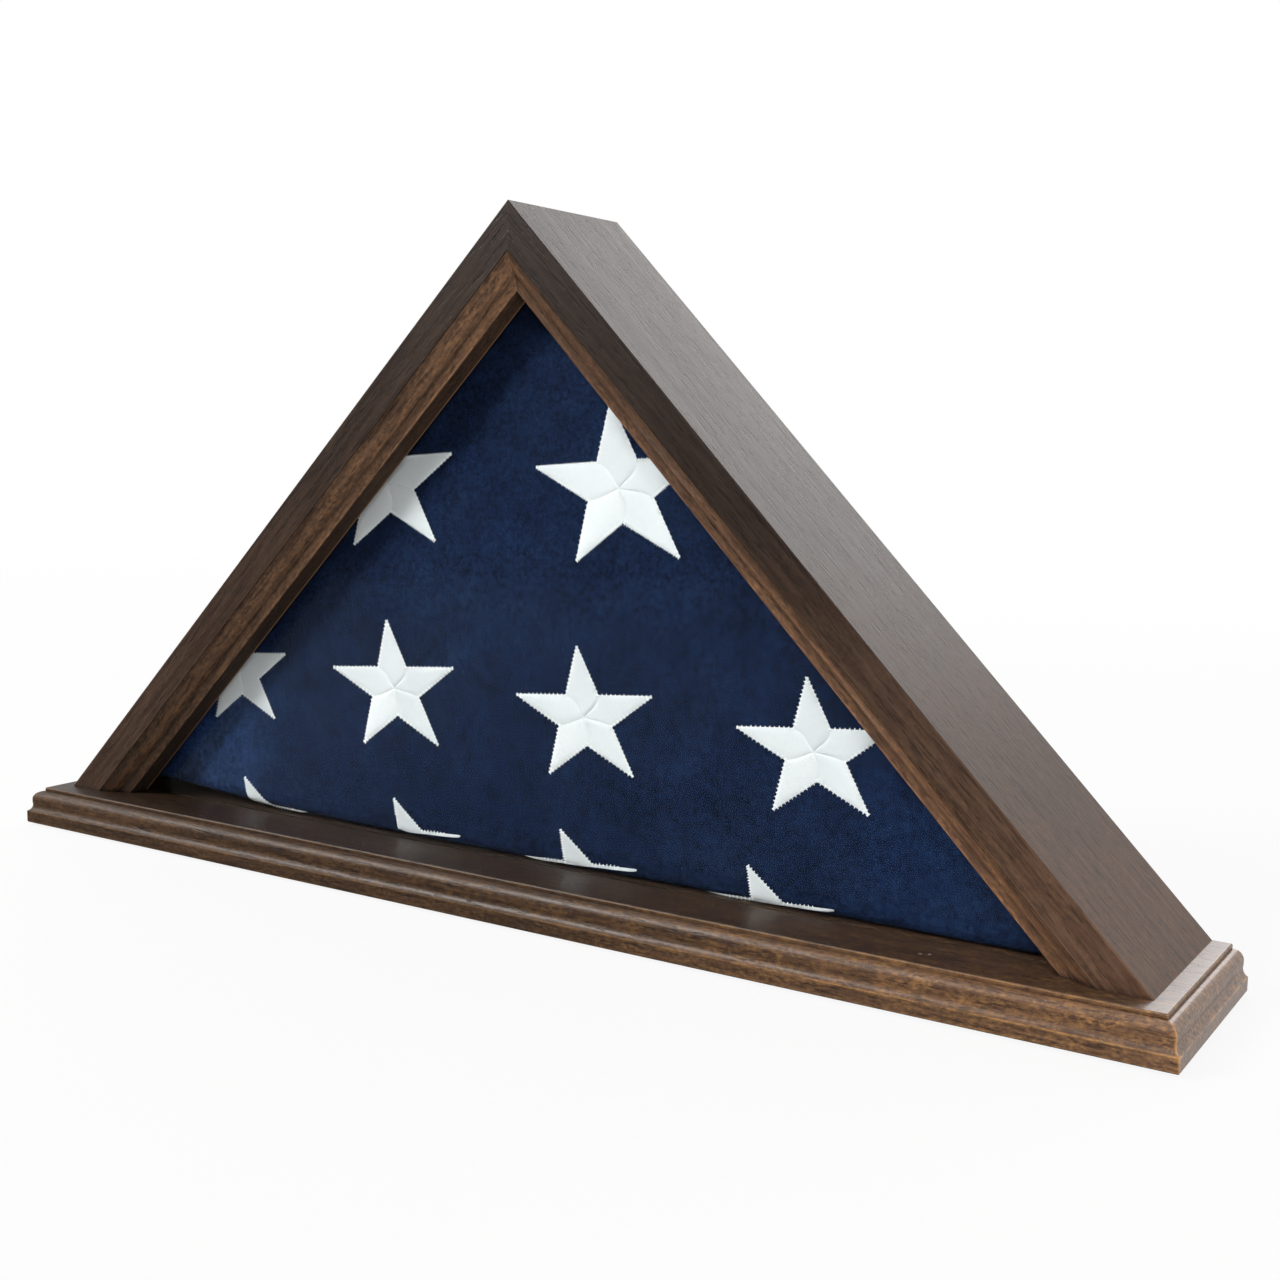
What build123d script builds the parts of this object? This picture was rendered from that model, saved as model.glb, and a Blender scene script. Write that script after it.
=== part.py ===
from build123d import *
import math
import os

# Triangular wooden display case on a moulded plinth, holding a folded flag behind glass, with a hinged
# back door. Millimetres. +X runs along the plinth, +Y from the glass to the back door, +Z up. The
# origin is on the ground, under the middle of the case's overall box.

# Overall sizes
case_width = 635.0  # across the feet of the two side boards
side_slope = 45.0  # degrees from level, the corner angle of a folded flag
board_depth = 89.5  # front edge to back edge of a side board
board_thickness = 16.0

# Plinth
plinth_thickness = 20.0
plinth_front_ledge = 12.0  # flat top showing in front of the boards
plinth_end_ledge = 8.7  # flat top showing outside each foot
quirk_drop = 2.1  # small square step under the top edge
quirk_width = 0.6
bead_radius = 4.5
cove_top_drop = 8.5
cove_foot_drop = 13.4
cove_depth = 1.0  # how far the cove is hollowed behind its chord
plinth_projection = 7.3  # lower fillet, out from the top edge
pad_radius = 7.0
pad_thickness = 1.5
pad_inset = 22.0  # pad centre in from the plinth's lower edges
arris = 0.5  # small softening of the long sharp edges

# Front moulding strips, one inside each side board
moulding_width = 13.0
moulding_depth = 19.0
moulding_quirk = 0.5  # fine groove that parts the strip from the board
ovolo_width = 7.0
ovolo_drop = 5.9
ovolo_bulge = 0.6  # how far the ovolo stands in front of its chord
lip_drop = 7.2

# Glass and its beads
glass_thickness = 2.0
glass_edge_gap = 1.0
glass_tip = 4.0  # height of its blunt ends
groove_depth = 2.0
groove_slack = 0.2
bead_width = 4.0
bead_depth = 5.0
bead_gap = 0.2
bead_foot_gap = 20.0  # bead's lower end above the plinth, clear of the flag's tip

# Folded flag
flag_side_gap = 3.7  # flag's slanting edge in from the glass beads
flag_gap = 0.5  # behind the glass
flag_back_gap = 2.3  # in front of the catch rail
flag_lift = 0.3  # soft piece held just clear of the plinth
flag_edge = 5.0
flag_tip = 9.0  # height of its blunt ends

# Back door
door_thickness = 5.0
door_side_gap = 1.5
door_foot_gap = 1.5
door_corner_clip = 16.0  # blunt lower corners, so that they swing clear of the boards
finger_gap = 16.0  # height of the open tip above the door
stop_width = 6.0
stop_depth = 6.0
corner_block_depth = 12.0
corner_block_gap = 1.0
strip_gap = 2.0  # between a stop strip and the pieces at its ends
brad_shares = (0.25, 0.5, 0.75)  # places along a strip

# Magnetic catch
rail_height = 18.0
rail_thickness = 7.0
rail_below_tip = 34.0  # rail's top edge under the inner tip of the boards
catch_gap = 0.2
magnet_radius = 5.0
magnet_thickness = 3.0
strike_radius = 8.0
strike_thickness = 1.0

# Hinges
hinge_length = 38.0
hinge_offset = 170.0  # hinge centre from the middle of the case
leaf_height = 12.0
leaf_thickness = 1.0
knuckle_radius = 2.0
knuckle_count = 5
knuckle_gap = 0.15
pin_radius = 1.0
pin_running_gap = 0.05
pin_head_radius = 1.7
pin_head_height = 0.8
leaf_notch_gap = 0.3

# Fasteners
foot_screw_radius = 2.0
foot_screw_bite = 12.0  # depth into a side board
foot_screw_in = 16.5  # from the foot's outer corner
foot_screw_from_face = 32.0  # in from the board's front and back edges
foot_screw_recess = 1.0
screw_hole_gap = 0.2
hinge_screw_radius = 1.0
hinge_screw_in_plinth = 8.0
hinge_screw_in_door = 3.4
hinge_screw_spacing = 24.0
hinge_screw_drop = 7.5  # from the hinge axis
strike_screw_bite = 2.8
brad_radius = 0.6
brad_bite = 8.0
brad_head_radius = 1.1
brad_head_height = 0.6
biscuit_length = 32.0
biscuit_width = 13.0
biscuit_thickness = 3.8
biscuit_gap = 0.1
biscuit_above_tip = 8.0
biscuit_from_face = 25.0  # its middle, in from the board's front and back edges

# Levels and planes worked out from the sizes above
slope = math.radians(side_slope)
half_width = case_width / 2
apex_height = half_width * math.tan(slope)
plinth_bottom = pad_thickness
plinth_top = plinth_bottom + plinth_thickness
hinge_reach = knuckle_radius * 2  # how far the hinge barrels stand behind the boards
overall_depth = plinth_projection + plinth_front_ledge + board_depth + hinge_reach
front_y = plinth_projection + plinth_front_ledge - overall_depth / 2
back_y = front_y + board_depth
glass_front_y = front_y + moulding_depth
glass_back_y = glass_front_y + glass_thickness
flag_front_y = glass_back_y + flag_gap
flag_inset = board_thickness + bead_width + flag_side_gap
door_front_y = back_y - door_thickness
hinge_y = back_y + knuckle_radius
hinge_z = plinth_top + door_foot_gap / 2
side_length = apex_height / math.sin(slope)
inner_tip = plinth_top + apex_height - board_thickness / math.cos(slope)
bead_y = glass_back_y + bead_gap + bead_depth / 2
stop_y = door_front_y - stop_depth / 2
rail_top = inner_tip - rail_below_tip
rail_low = rail_top - rail_height
catch_z = rail_top - rail_height / 2
magnet_face_y = door_front_y - catch_gap
rail_front_y = magnet_face_y - rail_thickness
flag_back_y = rail_front_y - flag_back_gap
block_leg = door_corner_clip - corner_block_gap
stop_low = plinth_top + block_leg + strip_gap
stop_high = rail_low - strip_gap
foot_screw_length = plinth_thickness - foot_screw_recess + foot_screw_bite
strike_screw_depth = strike_thickness + strike_screw_bite

os.makedirs("parts", exist_ok=True)


def save(name, *solids):
    shape = solids[0] if len(solids) == 1 else Compound(list(solids))
    export_step(shape, f"parts/{name}.step")


def tip_height(inset):
    """Height of the triangle's tip once its two slanting sides are moved in by inset."""
    return plinth_top + apex_height - inset / math.cos(slope)


def side_x(inset, z):
    """Half width, at height z, of the triangle whose slanting sides are moved in by inset."""
    return (tip_height(inset) - z) / math.tan(slope)


def upright(points, y_low, y_high):
    """Prism with an outline of (x, z) points, running from y_low to y_high."""
    outline = Polyline(*[(x, y_low, z) for x, z in points], close=True)
    return extrude(make_face(outline), amount=y_high - y_low, dir=(0, 1, 0))


def rod(radius, start, end):
    """Solid cylinder between two points."""
    start, end = Vector(*start), Vector(*end)
    place = Plane(origin=start, z_dir=end - start)
    return extrude(place * Circle(radius), amount=(end - start).length)


def mirrored(shape):
    return mirror(shape, about=Plane.YZ)


def along_side(inset, y, down):
    """Point on the right side board's run: inset from its outer face, down along it from the tip."""
    into = (-math.sin(slope), -math.cos(slope))
    along = (math.cos(slope), -math.sin(slope))
    x = into[0] * inset + along[0] * down
    z = plinth_top + apex_height + into[1] * inset + along[1] * down
    return (x, y, z)



def side_strip(edges, z_low, z_high):
    """Strip along the right side, from a closed profile of (inset, y), cut level and at the mitre."""
    over = 2 * board_thickness + moulding_width
    start = Vector(*along_side(0, 0, -over))
    into = Vector(-math.sin(slope), 0, -math.cos(slope))
    along = Vector(math.cos(slope), 0, -math.sin(slope))
    place = Plane(origin=start, x_dir=into, z_dir=along)
    strip = extrude(place * make_face(edges), amount=side_length + 2 * over)
    keep = Pos(half_width, 0, (z_low + z_high) / 2) * Box(2 * half_width, 4 * board_depth, z_high - z_low)
    return strip & keep


def loop_edges(points):
    return Polyline(*points, close=True).edges()


def screw(radius, length, head_radius=None):
    """Countersunk screw along -Z with its head's face at the origin."""
    head_radius = head_radius or 2 * radius
    head = Pos(0, 0, -(head_radius - radius) / 2) * Cone(radius, head_radius, head_radius - radius)
    point_length = 1.5 * radius
    shank_end = length - point_length
    shank = Pos(0, 0, -shank_end / 2) * Cylinder(radius, shank_end)
    point = Pos(0, 0, -shank_end - point_length / 2) * Cone(0.15 * radius, radius, point_length)
    slot_depth = 0.6 * radius
    arm = Pos(0, 0, -slot_depth / 2) * Box(1.1 * head_radius, 0.3 * radius, slot_depth)
    return head + shank + point - arm - Rot(0, 0, 90) * arm


def screw_hole(radius, length, gap, head_radius=None):
    """Cut for a screw: countersink that fits the head, and a bore gap wider than the shank."""
    head_radius = head_radius or 2 * radius
    head = Pos(0, 0, -(head_radius - radius) / 2) * Cone(radius, head_radius, head_radius - radius)
    return head + Pos(0, 0, -length / 2) * Cylinder(radius + gap, length)


# Plinth: one board with the same moulded edge along its front and both ends
def moulded_edge():
    """Edge profile in (outward, up) from the softened top edge down to the underside."""
    bead_end = (quirk_width + bead_radius, -quirk_drop - bead_radius)
    cove_top = (bead_end[0], -cove_top_drop)
    cove_foot = (plinth_projection, -cove_foot_drop)
    run = math.dist(cove_top, cove_foot)
    middle_out = (cove_top[0] + cove_foot[0]) / 2 - cove_depth * (cove_foot_drop - cove_top_drop) / run
    middle_drop = -(cove_top_drop + cove_foot_drop) / 2 - cove_depth * (cove_foot[0] - cove_top[0]) / run
    bead_mid = math.sqrt(0.5) * bead_radius
    return [
        Line((-arris, 0), (0, -arris)),
        Line((0, -arris), (0, -quirk_drop)),
        Line((0, -quirk_drop), (quirk_width, -quirk_drop)),
        ThreePointArc((quirk_width, -quirk_drop),
                      (quirk_width + bead_mid, -quirk_drop - bead_radius + bead_mid), bead_end),
        Line(bead_end, cove_top),
        ThreePointArc(cove_top, (middle_out, middle_drop), cove_foot),
        Line(cove_foot, (plinth_projection, arris - plinth_thickness)),
        Line((plinth_projection, arris - plinth_thickness), (plinth_projection - arris, -plinth_thickness)),
    ]


def board_section(reach_in):
    """Face with the moulded edge on one side and a square cut reach_in behind the top edge."""
    back = Polyline((plinth_projection - arris, -plinth_thickness), (-reach_in, -plinth_thickness),
                    (-reach_in, 0), (-arris, 0))
    return make_face(moulded_edge() + list(back.edges()))


def plinth():
    half_top = half_width + plinth_end_ledge
    top_front = front_y - plinth_front_ledge
    end_plane = Plane(origin=(half_top, -overall_depth, plinth_top), x_dir=(1, 0, 0), z_dir=(0, -1, 0))
    right = extrude(end_plane * board_section(half_top), amount=-2 * overall_depth)
    front_plane = Plane(origin=(0, top_front, plinth_top), x_dir=(0, -1, 0), z_dir=(-1, 0, 0))
    front = extrude(front_plane * board_section(back_y - top_front), amount=half_top + plinth_projection,
                    both=True)
    board = (right + mirrored(right)) & front
    groove_half = side_x(board_thickness, plinth_top) - glass_edge_gap
    groove = upright([(-groove_half, plinth_top - groove_depth), (groove_half, plinth_top - groove_depth),
                      (groove_half, plinth_top + 1), (-groove_half, plinth_top + 1)],
                     glass_front_y - groove_slack / 2, glass_back_y + groove_slack / 2)
    board -= groove
    for place in foot_screw_places():
        board -= place * screw_hole(foot_screw_radius, plinth_thickness + 1, screw_hole_gap)
        board -= place * Pos(0, 0, foot_screw_recess) * Cylinder(2 * foot_screw_radius, 2 * foot_screw_recess)
    for place in hinge_screw_places(-1):
        board -= place * Pos(0, 0, -hinge_screw_in_plinth / 2) * Cylinder(
            hinge_screw_radius, hinge_screw_in_plinth + 2 * leaf_thickness)
    return board


def foot_screw_places():
    """Screw heads under the plinth, two below each side board, pointing up."""
    places = []
    for x in (half_width - foot_screw_in, foot_screw_in - half_width):
        for y in (front_y + foot_screw_from_face, back_y - foot_screw_from_face):
            places.append(Pos(x, y, plinth_bottom + foot_screw_recess) * Rot(180, 0, 0))
    return places



def foot_screws():
    return [place * screw(foot_screw_radius, foot_screw_length) for place in foot_screw_places()]


def pads():
    x = half_width + plinth_end_ledge + plinth_projection - pad_inset
    ys = {"front": front_y - plinth_front_ledge - plinth_projection + pad_inset, "back": back_y - pad_inset}
    for end, y in ys.items():
        for side, sign in (("left", -1), ("right", 1)):
            pad = Cylinder(pad_radius, pad_thickness)
            save(f"{end}_{side}_pad", Pos(sign * x, y, pad_thickness / 2) * pad)


# Side boards, mitred at the tip and cut level at the foot
def side_board():
    outline = [(0, tip_height(0)), (half_width, plinth_top),
               (side_x(board_thickness, plinth_top), plinth_top), (0, inner_tip)]
    board = upright(outline, front_y, back_y)
    middle = Vector(half_width / 2, 0, (plinth_top + tip_height(0)) / 2)
    long_outer = [e for e in board.edges() if ((e @ 0.5) - middle).cross(Vector(0, 1, 0)).length < arris]
    board = chamfer(long_outer, arris)
    for cut in biscuits(biscuit_gap):
        board -= cut
    for place in foot_screw_places():
        board -= place * Pos(0, 0, -foot_screw_length / 2) * Cylinder(foot_screw_radius, foot_screw_length)
    for place in brad_places(bead_width, bead_y) + brad_places(stop_width, stop_y):
        board -= place * Pos(0, 0, -brad_bite) * Cylinder(brad_radius, 2 * brad_bite)
    return board


def biscuits(gap=0.0):
    """Two lens-shaped beech biscuits across the mitre, or their pockets when gap is given."""
    half_length = biscuit_length / 2 + gap
    half_across = biscuit_width / 2 + gap
    lens = make_face([ThreePointArc((0, -half_length), (half_across, 0), (0, half_length)),
                      ThreePointArc((0, half_length), (-half_across, 0), (0, -half_length))])
    body = extrude(lens, amount=biscuit_thickness / 2 + gap, both=True)
    z = inner_tip + biscuit_above_tip
    return [Pos(0, y, z) * body for y in (front_y + biscuit_from_face, back_y - biscuit_from_face)]


def front_moulding():
    """Strip inside the board's front edge: a fine groove, an ovolo, a flat lip, then straight back."""
    start = board_thickness
    ovolo_start = (start + moulding_quirk, front_y)
    ovolo_end = (start + moulding_quirk + ovolo_width, front_y + ovolo_drop)
    run = math.dist(ovolo_start, ovolo_end)
    middle = ((ovolo_start[0] + ovolo_end[0]) / 2 + ovolo_bulge * ovolo_drop / run,
              (ovolo_start[1] + ovolo_end[1]) / 2 - ovolo_bulge * ovolo_width / run)
    lip = start + moulding_width
    lip_y = front_y + lip_drop
    edges = [
        Line((start, front_y + moulding_quirk), ovolo_start),
        ThreePointArc(ovolo_start, middle, ovolo_end),
        Line(ovolo_end, (lip - arris, lip_y)),
        Line((lip - arris, lip_y), (lip, lip_y + arris)),
        Line((lip, lip_y + arris), (lip, glass_front_y)),
        Line((lip, glass_front_y), (start, glass_front_y)),
        Line((start, glass_front_y), (start, front_y + moulding_quirk)),
    ]
    return side_strip(edges, plinth_top, plinth_top + apex_height)


# Glass in a groove in the plinth, and the beads that hold it against the mouldings
def glass_pane():
    inset = board_thickness + glass_edge_gap
    foot = plinth_top - groove_depth
    corner = side_x(inset, plinth_top + glass_tip)
    outline = [(-corner, foot), (corner, foot), (corner, plinth_top + glass_tip), (0, tip_height(inset)),
               (-corner, plinth_top + glass_tip)]
    return upright(outline, glass_front_y, glass_back_y)



def brad_places(width, y):
    """Brads through a strip of this width into the right board, heads on the strip's inner face."""
    places = []
    for share in brad_shares:
        point = along_side(board_thickness + width, y, side_length * share)
        out = Vector(math.sin(slope), 0, math.cos(slope))
        places.append(Plane(origin=point, z_dir=-out).location)
    return places


def brads(width, y):
    made = []
    for place in brad_places(width, y):
        head = Pos(0, 0, -brad_head_height / 2) * Cylinder(brad_head_radius, brad_head_height)
        shank = Pos(0, 0, -(width + brad_bite) / 2) * Cylinder(brad_radius, width + brad_bite)
        brad = place * (head + shank)
        made += [brad, mirrored(brad)]
    return made


def held_strip(width, depth, y, z_low, z_high):
    """Square strip along the right board's inner face, with holes for its brads."""
    start = board_thickness
    strip = side_strip(loop_edges([(start, y - depth / 2), (start + width, y - depth / 2),
                                   (start + width, y + depth / 2), (start, y + depth / 2)]), z_low, z_high)
    for place in brad_places(width, y):
        strip -= place * Cylinder(brad_radius, 4 * width)
        strip -= place * Pos(0, 0, -brad_head_height / 2) * Cylinder(brad_head_radius, brad_head_height)
    return strip


# Folded flag as one plain closed solid
def folded_flag():
    foot = plinth_top + flag_lift
    corner = side_x(flag_inset, plinth_top + flag_tip)
    outline = [(-corner, foot), (corner, foot), (corner, plinth_top + flag_tip), (0, tip_height(flag_inset)),
               (-corner, plinth_top + flag_tip)]
    body = upright(outline, flag_front_y, flag_back_y)
    rims = body.faces().sort_by(Axis.Y)
    return chamfer(rims[0].edges() + rims[-1].edges(), flag_edge)


# Back door, hung from the plinth's back edge
def door_panel():
    foot = plinth_top + door_foot_gap
    inset = board_thickness + door_side_gap
    corner = side_x(board_thickness, hinge_z) - door_corner_clip
    shoulder = tip_height(inset) - corner * math.tan(slope)
    top = inner_tip - finger_gap
    top_half = side_x(inset, top)
    outline = [(-corner, foot), (corner, foot), (corner, shoulder), (top_half, top), (-top_half, top),
               (-corner, shoulder)]
    panel = upright(outline, door_front_y, back_y)
    for place in hinge_screw_places(1):
        panel -= place * Pos(0, 0, -hinge_screw_in_door / 2) * Cylinder(
            hinge_screw_radius, hinge_screw_in_door + 2 * leaf_thickness)
    pocket = Pos(0, 0, -strike_thickness / 2) * Cylinder(strike_radius, strike_thickness)
    screw_bore = Pos(0, 0, -strike_screw_depth / 2) * Cylinder(hinge_screw_radius, strike_screw_depth)
    return panel - strike_place() * (pocket + screw_bore)


def door_stop():
    return held_strip(stop_width, stop_depth, stop_y, stop_low, stop_high)


def corner_block():
    """Triangular block that fills the sharp corner beside the door's blunt end."""
    corner = side_x(board_thickness, plinth_top)
    outline = [(corner - block_leg, plinth_top), (corner, plinth_top),
               (corner - block_leg, plinth_top + block_leg * math.tan(slope))]
    return upright(outline, back_y - corner_block_depth, back_y)


# Magnetic catch: a cleat between the boards with a magnet, and a strike disc on the door

def catch_rail():
    low, high = side_x(board_thickness, rail_low), side_x(board_thickness, rail_top)
    rail = upright([(-low, rail_low), (low, rail_low), (high, rail_top), (-high, rail_top)],
                   rail_front_y, magnet_face_y)
    return rail - magnet()


def magnet():
    return rod(magnet_radius, (0, magnet_face_y - magnet_thickness, catch_z), (0, magnet_face_y, catch_z))


def strike_place():
    """On the door's inner face, with local +Z pointing into the case."""
    return Plane(origin=(0, door_front_y, catch_z), z_dir=(0, -1, 0)).location


def strike_disc():
    disc = Pos(0, 0, -strike_thickness / 2) * Cylinder(strike_radius, strike_thickness)
    return strike_place() * (disc - screw_hole(hinge_screw_radius, 2 * strike_thickness, 0))


def strike_screw():
    return strike_place() * screw(hinge_screw_radius, strike_screw_depth)


# Butt hinges on the back: one leaf down the plinth's edge, one up the door
def hinge_screw_places(side):
    """Heads on the leaves' outer faces. side is -1 for the plinth's leaves and 1 for the door's."""
    places = []
    for centre in (-hinge_offset, hinge_offset):
        for x in (centre - hinge_screw_spacing / 2, centre + hinge_screw_spacing / 2):
            origin = (x, back_y + leaf_thickness, hinge_z + side * hinge_screw_drop)
            places.append(Plane(origin=origin, z_dir=(0, 1, 0)).location)
    return places


def hinge_leaf(centre, side):
    """A leaf with its knuckles. The plinth's leaf has the two ends and the middle one."""
    pitch = hinge_length / knuckle_count
    left = centre - hinge_length / 2
    leaf = None
    for index in range(knuckle_count):
        own = index % 2 == (0 if side < 0 else 1)
        low, high = left + index * pitch, left + (index + 1) * pitch
        if own:
            low += knuckle_gap / 2 if index else 0
            high -= knuckle_gap / 2 if index < knuckle_count - 1 else 0
            barrel = rod(knuckle_radius, (low, hinge_y, hinge_z), (high, hinge_y, hinge_z))
            near = 0
        else:
            near = knuckle_radius + leaf_notch_gap
            low -= knuckle_gap / 2
            high += knuckle_gap / 2
            low, high = max(low, left), min(high, left + hinge_length)
            barrel = None
        plate = upright([(low, hinge_z + side * near), (high, hinge_z + side * near),
                         (high, hinge_z + side * leaf_height), (low, hinge_z + side * leaf_height)],
                        back_y, back_y + leaf_thickness)
        piece = plate + barrel if barrel else plate
        leaf = piece if leaf is None else leaf + piece
    bore = pin_radius + (pin_running_gap if side > 0 else 0)
    leaf -= rod(bore, (left - 1, hinge_y, hinge_z), (left + hinge_length + 1, hinge_y, hinge_z))
    for place in hinge_screw_places(side):
        if abs(place.position.X - centre) < hinge_length:
            leaf -= place * screw_hole(hinge_screw_radius, 4 * leaf_thickness, 0)
    return leaf


def hinge_pin(centre):
    near = hinge_length / 2
    far = near + pin_head_height
    pin = rod(pin_radius, (centre - far, hinge_y, hinge_z), (centre + far, hinge_y, hinge_z))
    for side in (-1, 1):
        ends = [(centre + side * reach, hinge_y, hinge_z) for reach in (near, far)]
        pin += rod(pin_head_radius, *ends)
    return pin


def hinge_screws(side):
    bite = hinge_screw_in_door if side > 0 else hinge_screw_in_plinth
    return [place * screw(hinge_screw_radius, leaf_thickness + bite) for place in hinge_screw_places(side)]


save("base_plinth", plinth())
pads()
save("base_screws", *foot_screws())
board = side_board()
save("right_side_board", board)
save("left_side_board", mirrored(board))
save("apex_biscuits", *biscuits())
moulding = front_moulding()
save("right_front_moulding", moulding)
save("left_front_moulding", mirrored(moulding))
save("glass_pane", glass_pane())
bead = held_strip(bead_width, bead_depth, bead_y, plinth_top + bead_foot_gap, inner_tip)
save("right_glass_bead", bead)
save("left_glass_bead", mirrored(bead))
save("glass_bead_brads", *brads(bead_width, bead_y))
save("folded_flag", folded_flag())
save("back_door_panel", door_panel())
stop = door_stop()
save("right_door_stop", stop)
save("left_door_stop", mirrored(stop))
save("door_stop_brads", *brads(stop_width, stop_y))
block = corner_block()
save("right_corner_block", block)
save("left_corner_block", mirrored(block))
save("catch_rail", catch_rail())
save("catch_magnet", magnet())
save("strike_disc", strike_disc())
save("strike_screw", strike_screw())
for side_name, centre in (("left", -hinge_offset), ("right", hinge_offset)):
    save(f"{side_name}_hinge_plinth_leaf", hinge_leaf(centre, -1))
    save(f"{side_name}_hinge_door_leaf", hinge_leaf(centre, 1))
    save(f"{side_name}_hinge_pin", hinge_pin(centre))
save("hinge_plinth_screws", *hinge_screws(-1))
save("hinge_door_screws", *hinge_screws(1))
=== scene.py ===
import bmesh
import bpy
import math
import random
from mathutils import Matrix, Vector, noise


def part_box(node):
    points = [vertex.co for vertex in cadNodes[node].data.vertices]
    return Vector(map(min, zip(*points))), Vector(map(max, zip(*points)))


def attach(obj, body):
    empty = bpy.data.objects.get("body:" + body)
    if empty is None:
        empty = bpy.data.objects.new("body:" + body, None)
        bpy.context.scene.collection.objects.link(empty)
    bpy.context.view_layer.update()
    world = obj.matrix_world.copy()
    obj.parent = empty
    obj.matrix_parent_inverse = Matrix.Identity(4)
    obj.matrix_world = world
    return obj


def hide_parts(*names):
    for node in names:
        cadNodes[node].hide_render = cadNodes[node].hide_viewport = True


# Folded flag display case: a triangular wooden case on a moulded plinth, with a folded flag behind
# glass. Metres, with the ground at z = 0, the glass towards -Y and the back door towards +Y.

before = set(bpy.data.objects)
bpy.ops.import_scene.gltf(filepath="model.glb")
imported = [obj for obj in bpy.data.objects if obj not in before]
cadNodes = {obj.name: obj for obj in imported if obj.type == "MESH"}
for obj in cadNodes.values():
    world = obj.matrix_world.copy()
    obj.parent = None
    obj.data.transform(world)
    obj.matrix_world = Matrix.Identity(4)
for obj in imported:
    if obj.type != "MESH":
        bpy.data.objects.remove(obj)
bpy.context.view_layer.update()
print("frame loaded:", len(cadNodes), "parts")


# Camera and studio
cameraSet = {
    "place": (0.4772, -0.6425, 0.2396),
    "turn": (82.44, -1.27, 30.42),  # degrees
    "lens": 45.54, "sensor": 36,  # mm
    "shift": (-0.071, -0.0018),
    "clip": (0.05, 60),
}
studio = {
    "aim": (0.0, 0.0, 0.12),
    "floorRadius": 3.0, "floorSides": 96,
    "floorFade": (0.5, 2.4),  # where the floor melts into the pale surroundings
    "floorColour": (0.65, 0.65, 0.65),
    "floorMottle": ((2, 2, 2), 3), "mottleRange": (0.3, 0.7), "mottleShade": 0.985,
    "floorGlow": 0.9,  # share of white that the camera sees in the floor, as on a brightly lit sweep
    "backdrop": 1.0,  # what the camera sees behind the object
    "ambient": (0.06, 0.9),  # light from all round: in front of and under the object, then behind and above
    "ambientFrom": (-0.15, 0.62, 0.62), "ambientRange": (-0.35, 0.75),
}
lampSet = {
    "highLamp": {
        "place": (-1.45, -1.4, 1.7), "size": (0.8, 0.8), "power": 53, "tint": (1.0, 0.98, 0.96)},
    "backSoftbox": {
        "place": (-0.4, 2.0, 1.25), "size": (1.9, 1.4), "power": 21, "tint": (1.0, 0.95, 0.94)},
    "lowLamp": {
        "place": (0.92, -0.72, 0.22), "size": (0.35, 0.35), "power": 3.0, "tint": (1.0, 0.97, 0.93)},
}


def placeCamera(spec):
    camera = bpy.data.cameras.new("studioCamera")
    camera.lens = spec["lens"]
    camera.sensor_width = spec["sensor"]
    camera.shift_x, camera.shift_y = spec["shift"]
    camera.clip_start, camera.clip_end = spec["clip"]
    holder = bpy.data.objects.new("studioCamera", camera)
    holder.location = spec["place"]
    holder.rotation_euler = [math.radians(angle) for angle in spec["turn"]]
    bpy.context.scene.collection.objects.link(holder)
    bpy.context.scene.camera = holder


def placeLamp(name, spec, aim):
    lamp = bpy.data.lights.new(name, "AREA")
    lamp.shape = "RECTANGLE"
    lamp.size, lamp.size_y = spec["size"]
    lamp.energy = spec["power"]
    lamp.color = spec["tint"]
    holder = bpy.data.objects.new(name, lamp)
    holder.location = spec["place"]
    holder.rotation_euler = (Vector(aim) - Vector(spec["place"])).to_track_quat("-Z", "Y").to_euler()
    holder.visible_camera = False
    bpy.context.scene.collection.objects.link(holder)


def meshObject(name, points, faces, materials=(), smooth=True):
    mesh = bpy.data.meshes.new(name)
    mesh.from_pydata([tuple(point) for point in points], [], faces)
    mesh.polygons.foreach_set("use_smooth", [smooth] * len(mesh.polygons))
    made = bpy.data.objects.new(name, mesh)
    bpy.context.scene.collection.objects.link(made)
    for material in materials:
        mesh.materials.append(material)
    return made


# Node tree helpers
def addNode(tree, kind, values=None, **settings):
    made = tree.nodes.new(kind)
    for name, value in settings.items():
        setattr(made, name, value)
    for name, value in (values or {}).items():
        if isinstance(value, bpy.types.NodeSocket):
            tree.links.new(value, made.inputs[name])
        else:
            made.inputs[name].default_value = value
    return made


def maths(tree, operation, first, second=0.0, clamp=False):
    made = addNode(tree, "ShaderNodeMath", {0: first, 1: second}, operation=operation, use_clamp=clamp)
    return made.outputs[0]


def times(tree, first, second, clamp=False):
    return maths(tree, "MULTIPLY", first, second, clamp)


def plus(tree, first, second, clamp=False):
    return maths(tree, "ADD", first, second, clamp)


def minus(tree, first, second, clamp=False):
    return maths(tree, "SUBTRACT", first, second, clamp)


def ramp(tree, value, low, high, toLow=0.0, toHigh=1.0, easing="LINEAR"):
    return addNode(tree, "ShaderNodeMapRange", {"Value": value, "From Min": low, "From Max": high,
                                                "To Min": toLow, "To Max": toHigh},
                   interpolation_type=easing).outputs["Result"]


def blendColour(tree, factor, first, second, mode="MIX"):
    mix = addNode(tree, "ShaderNodeMix", data_type="RGBA", blend_type=mode)
    for index, value in ((0, factor), (6, first), (7, second)):
        if isinstance(value, bpy.types.NodeSocket):
            tree.links.new(value, mix.inputs[index])
        else:
            mix.inputs[index].default_value = value if index == 0 else (*value, 1.0)
    return mix.outputs[2]


def scaled(tree, vector, factor):
    return addNode(tree, "ShaderNodeVectorMath", {0: vector, "Scale": factor}, operation="SCALE").outputs[0]


def axesOf(tree, vector):
    return addNode(tree, "ShaderNodeSeparateXYZ", {0: vector}).outputs


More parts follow.
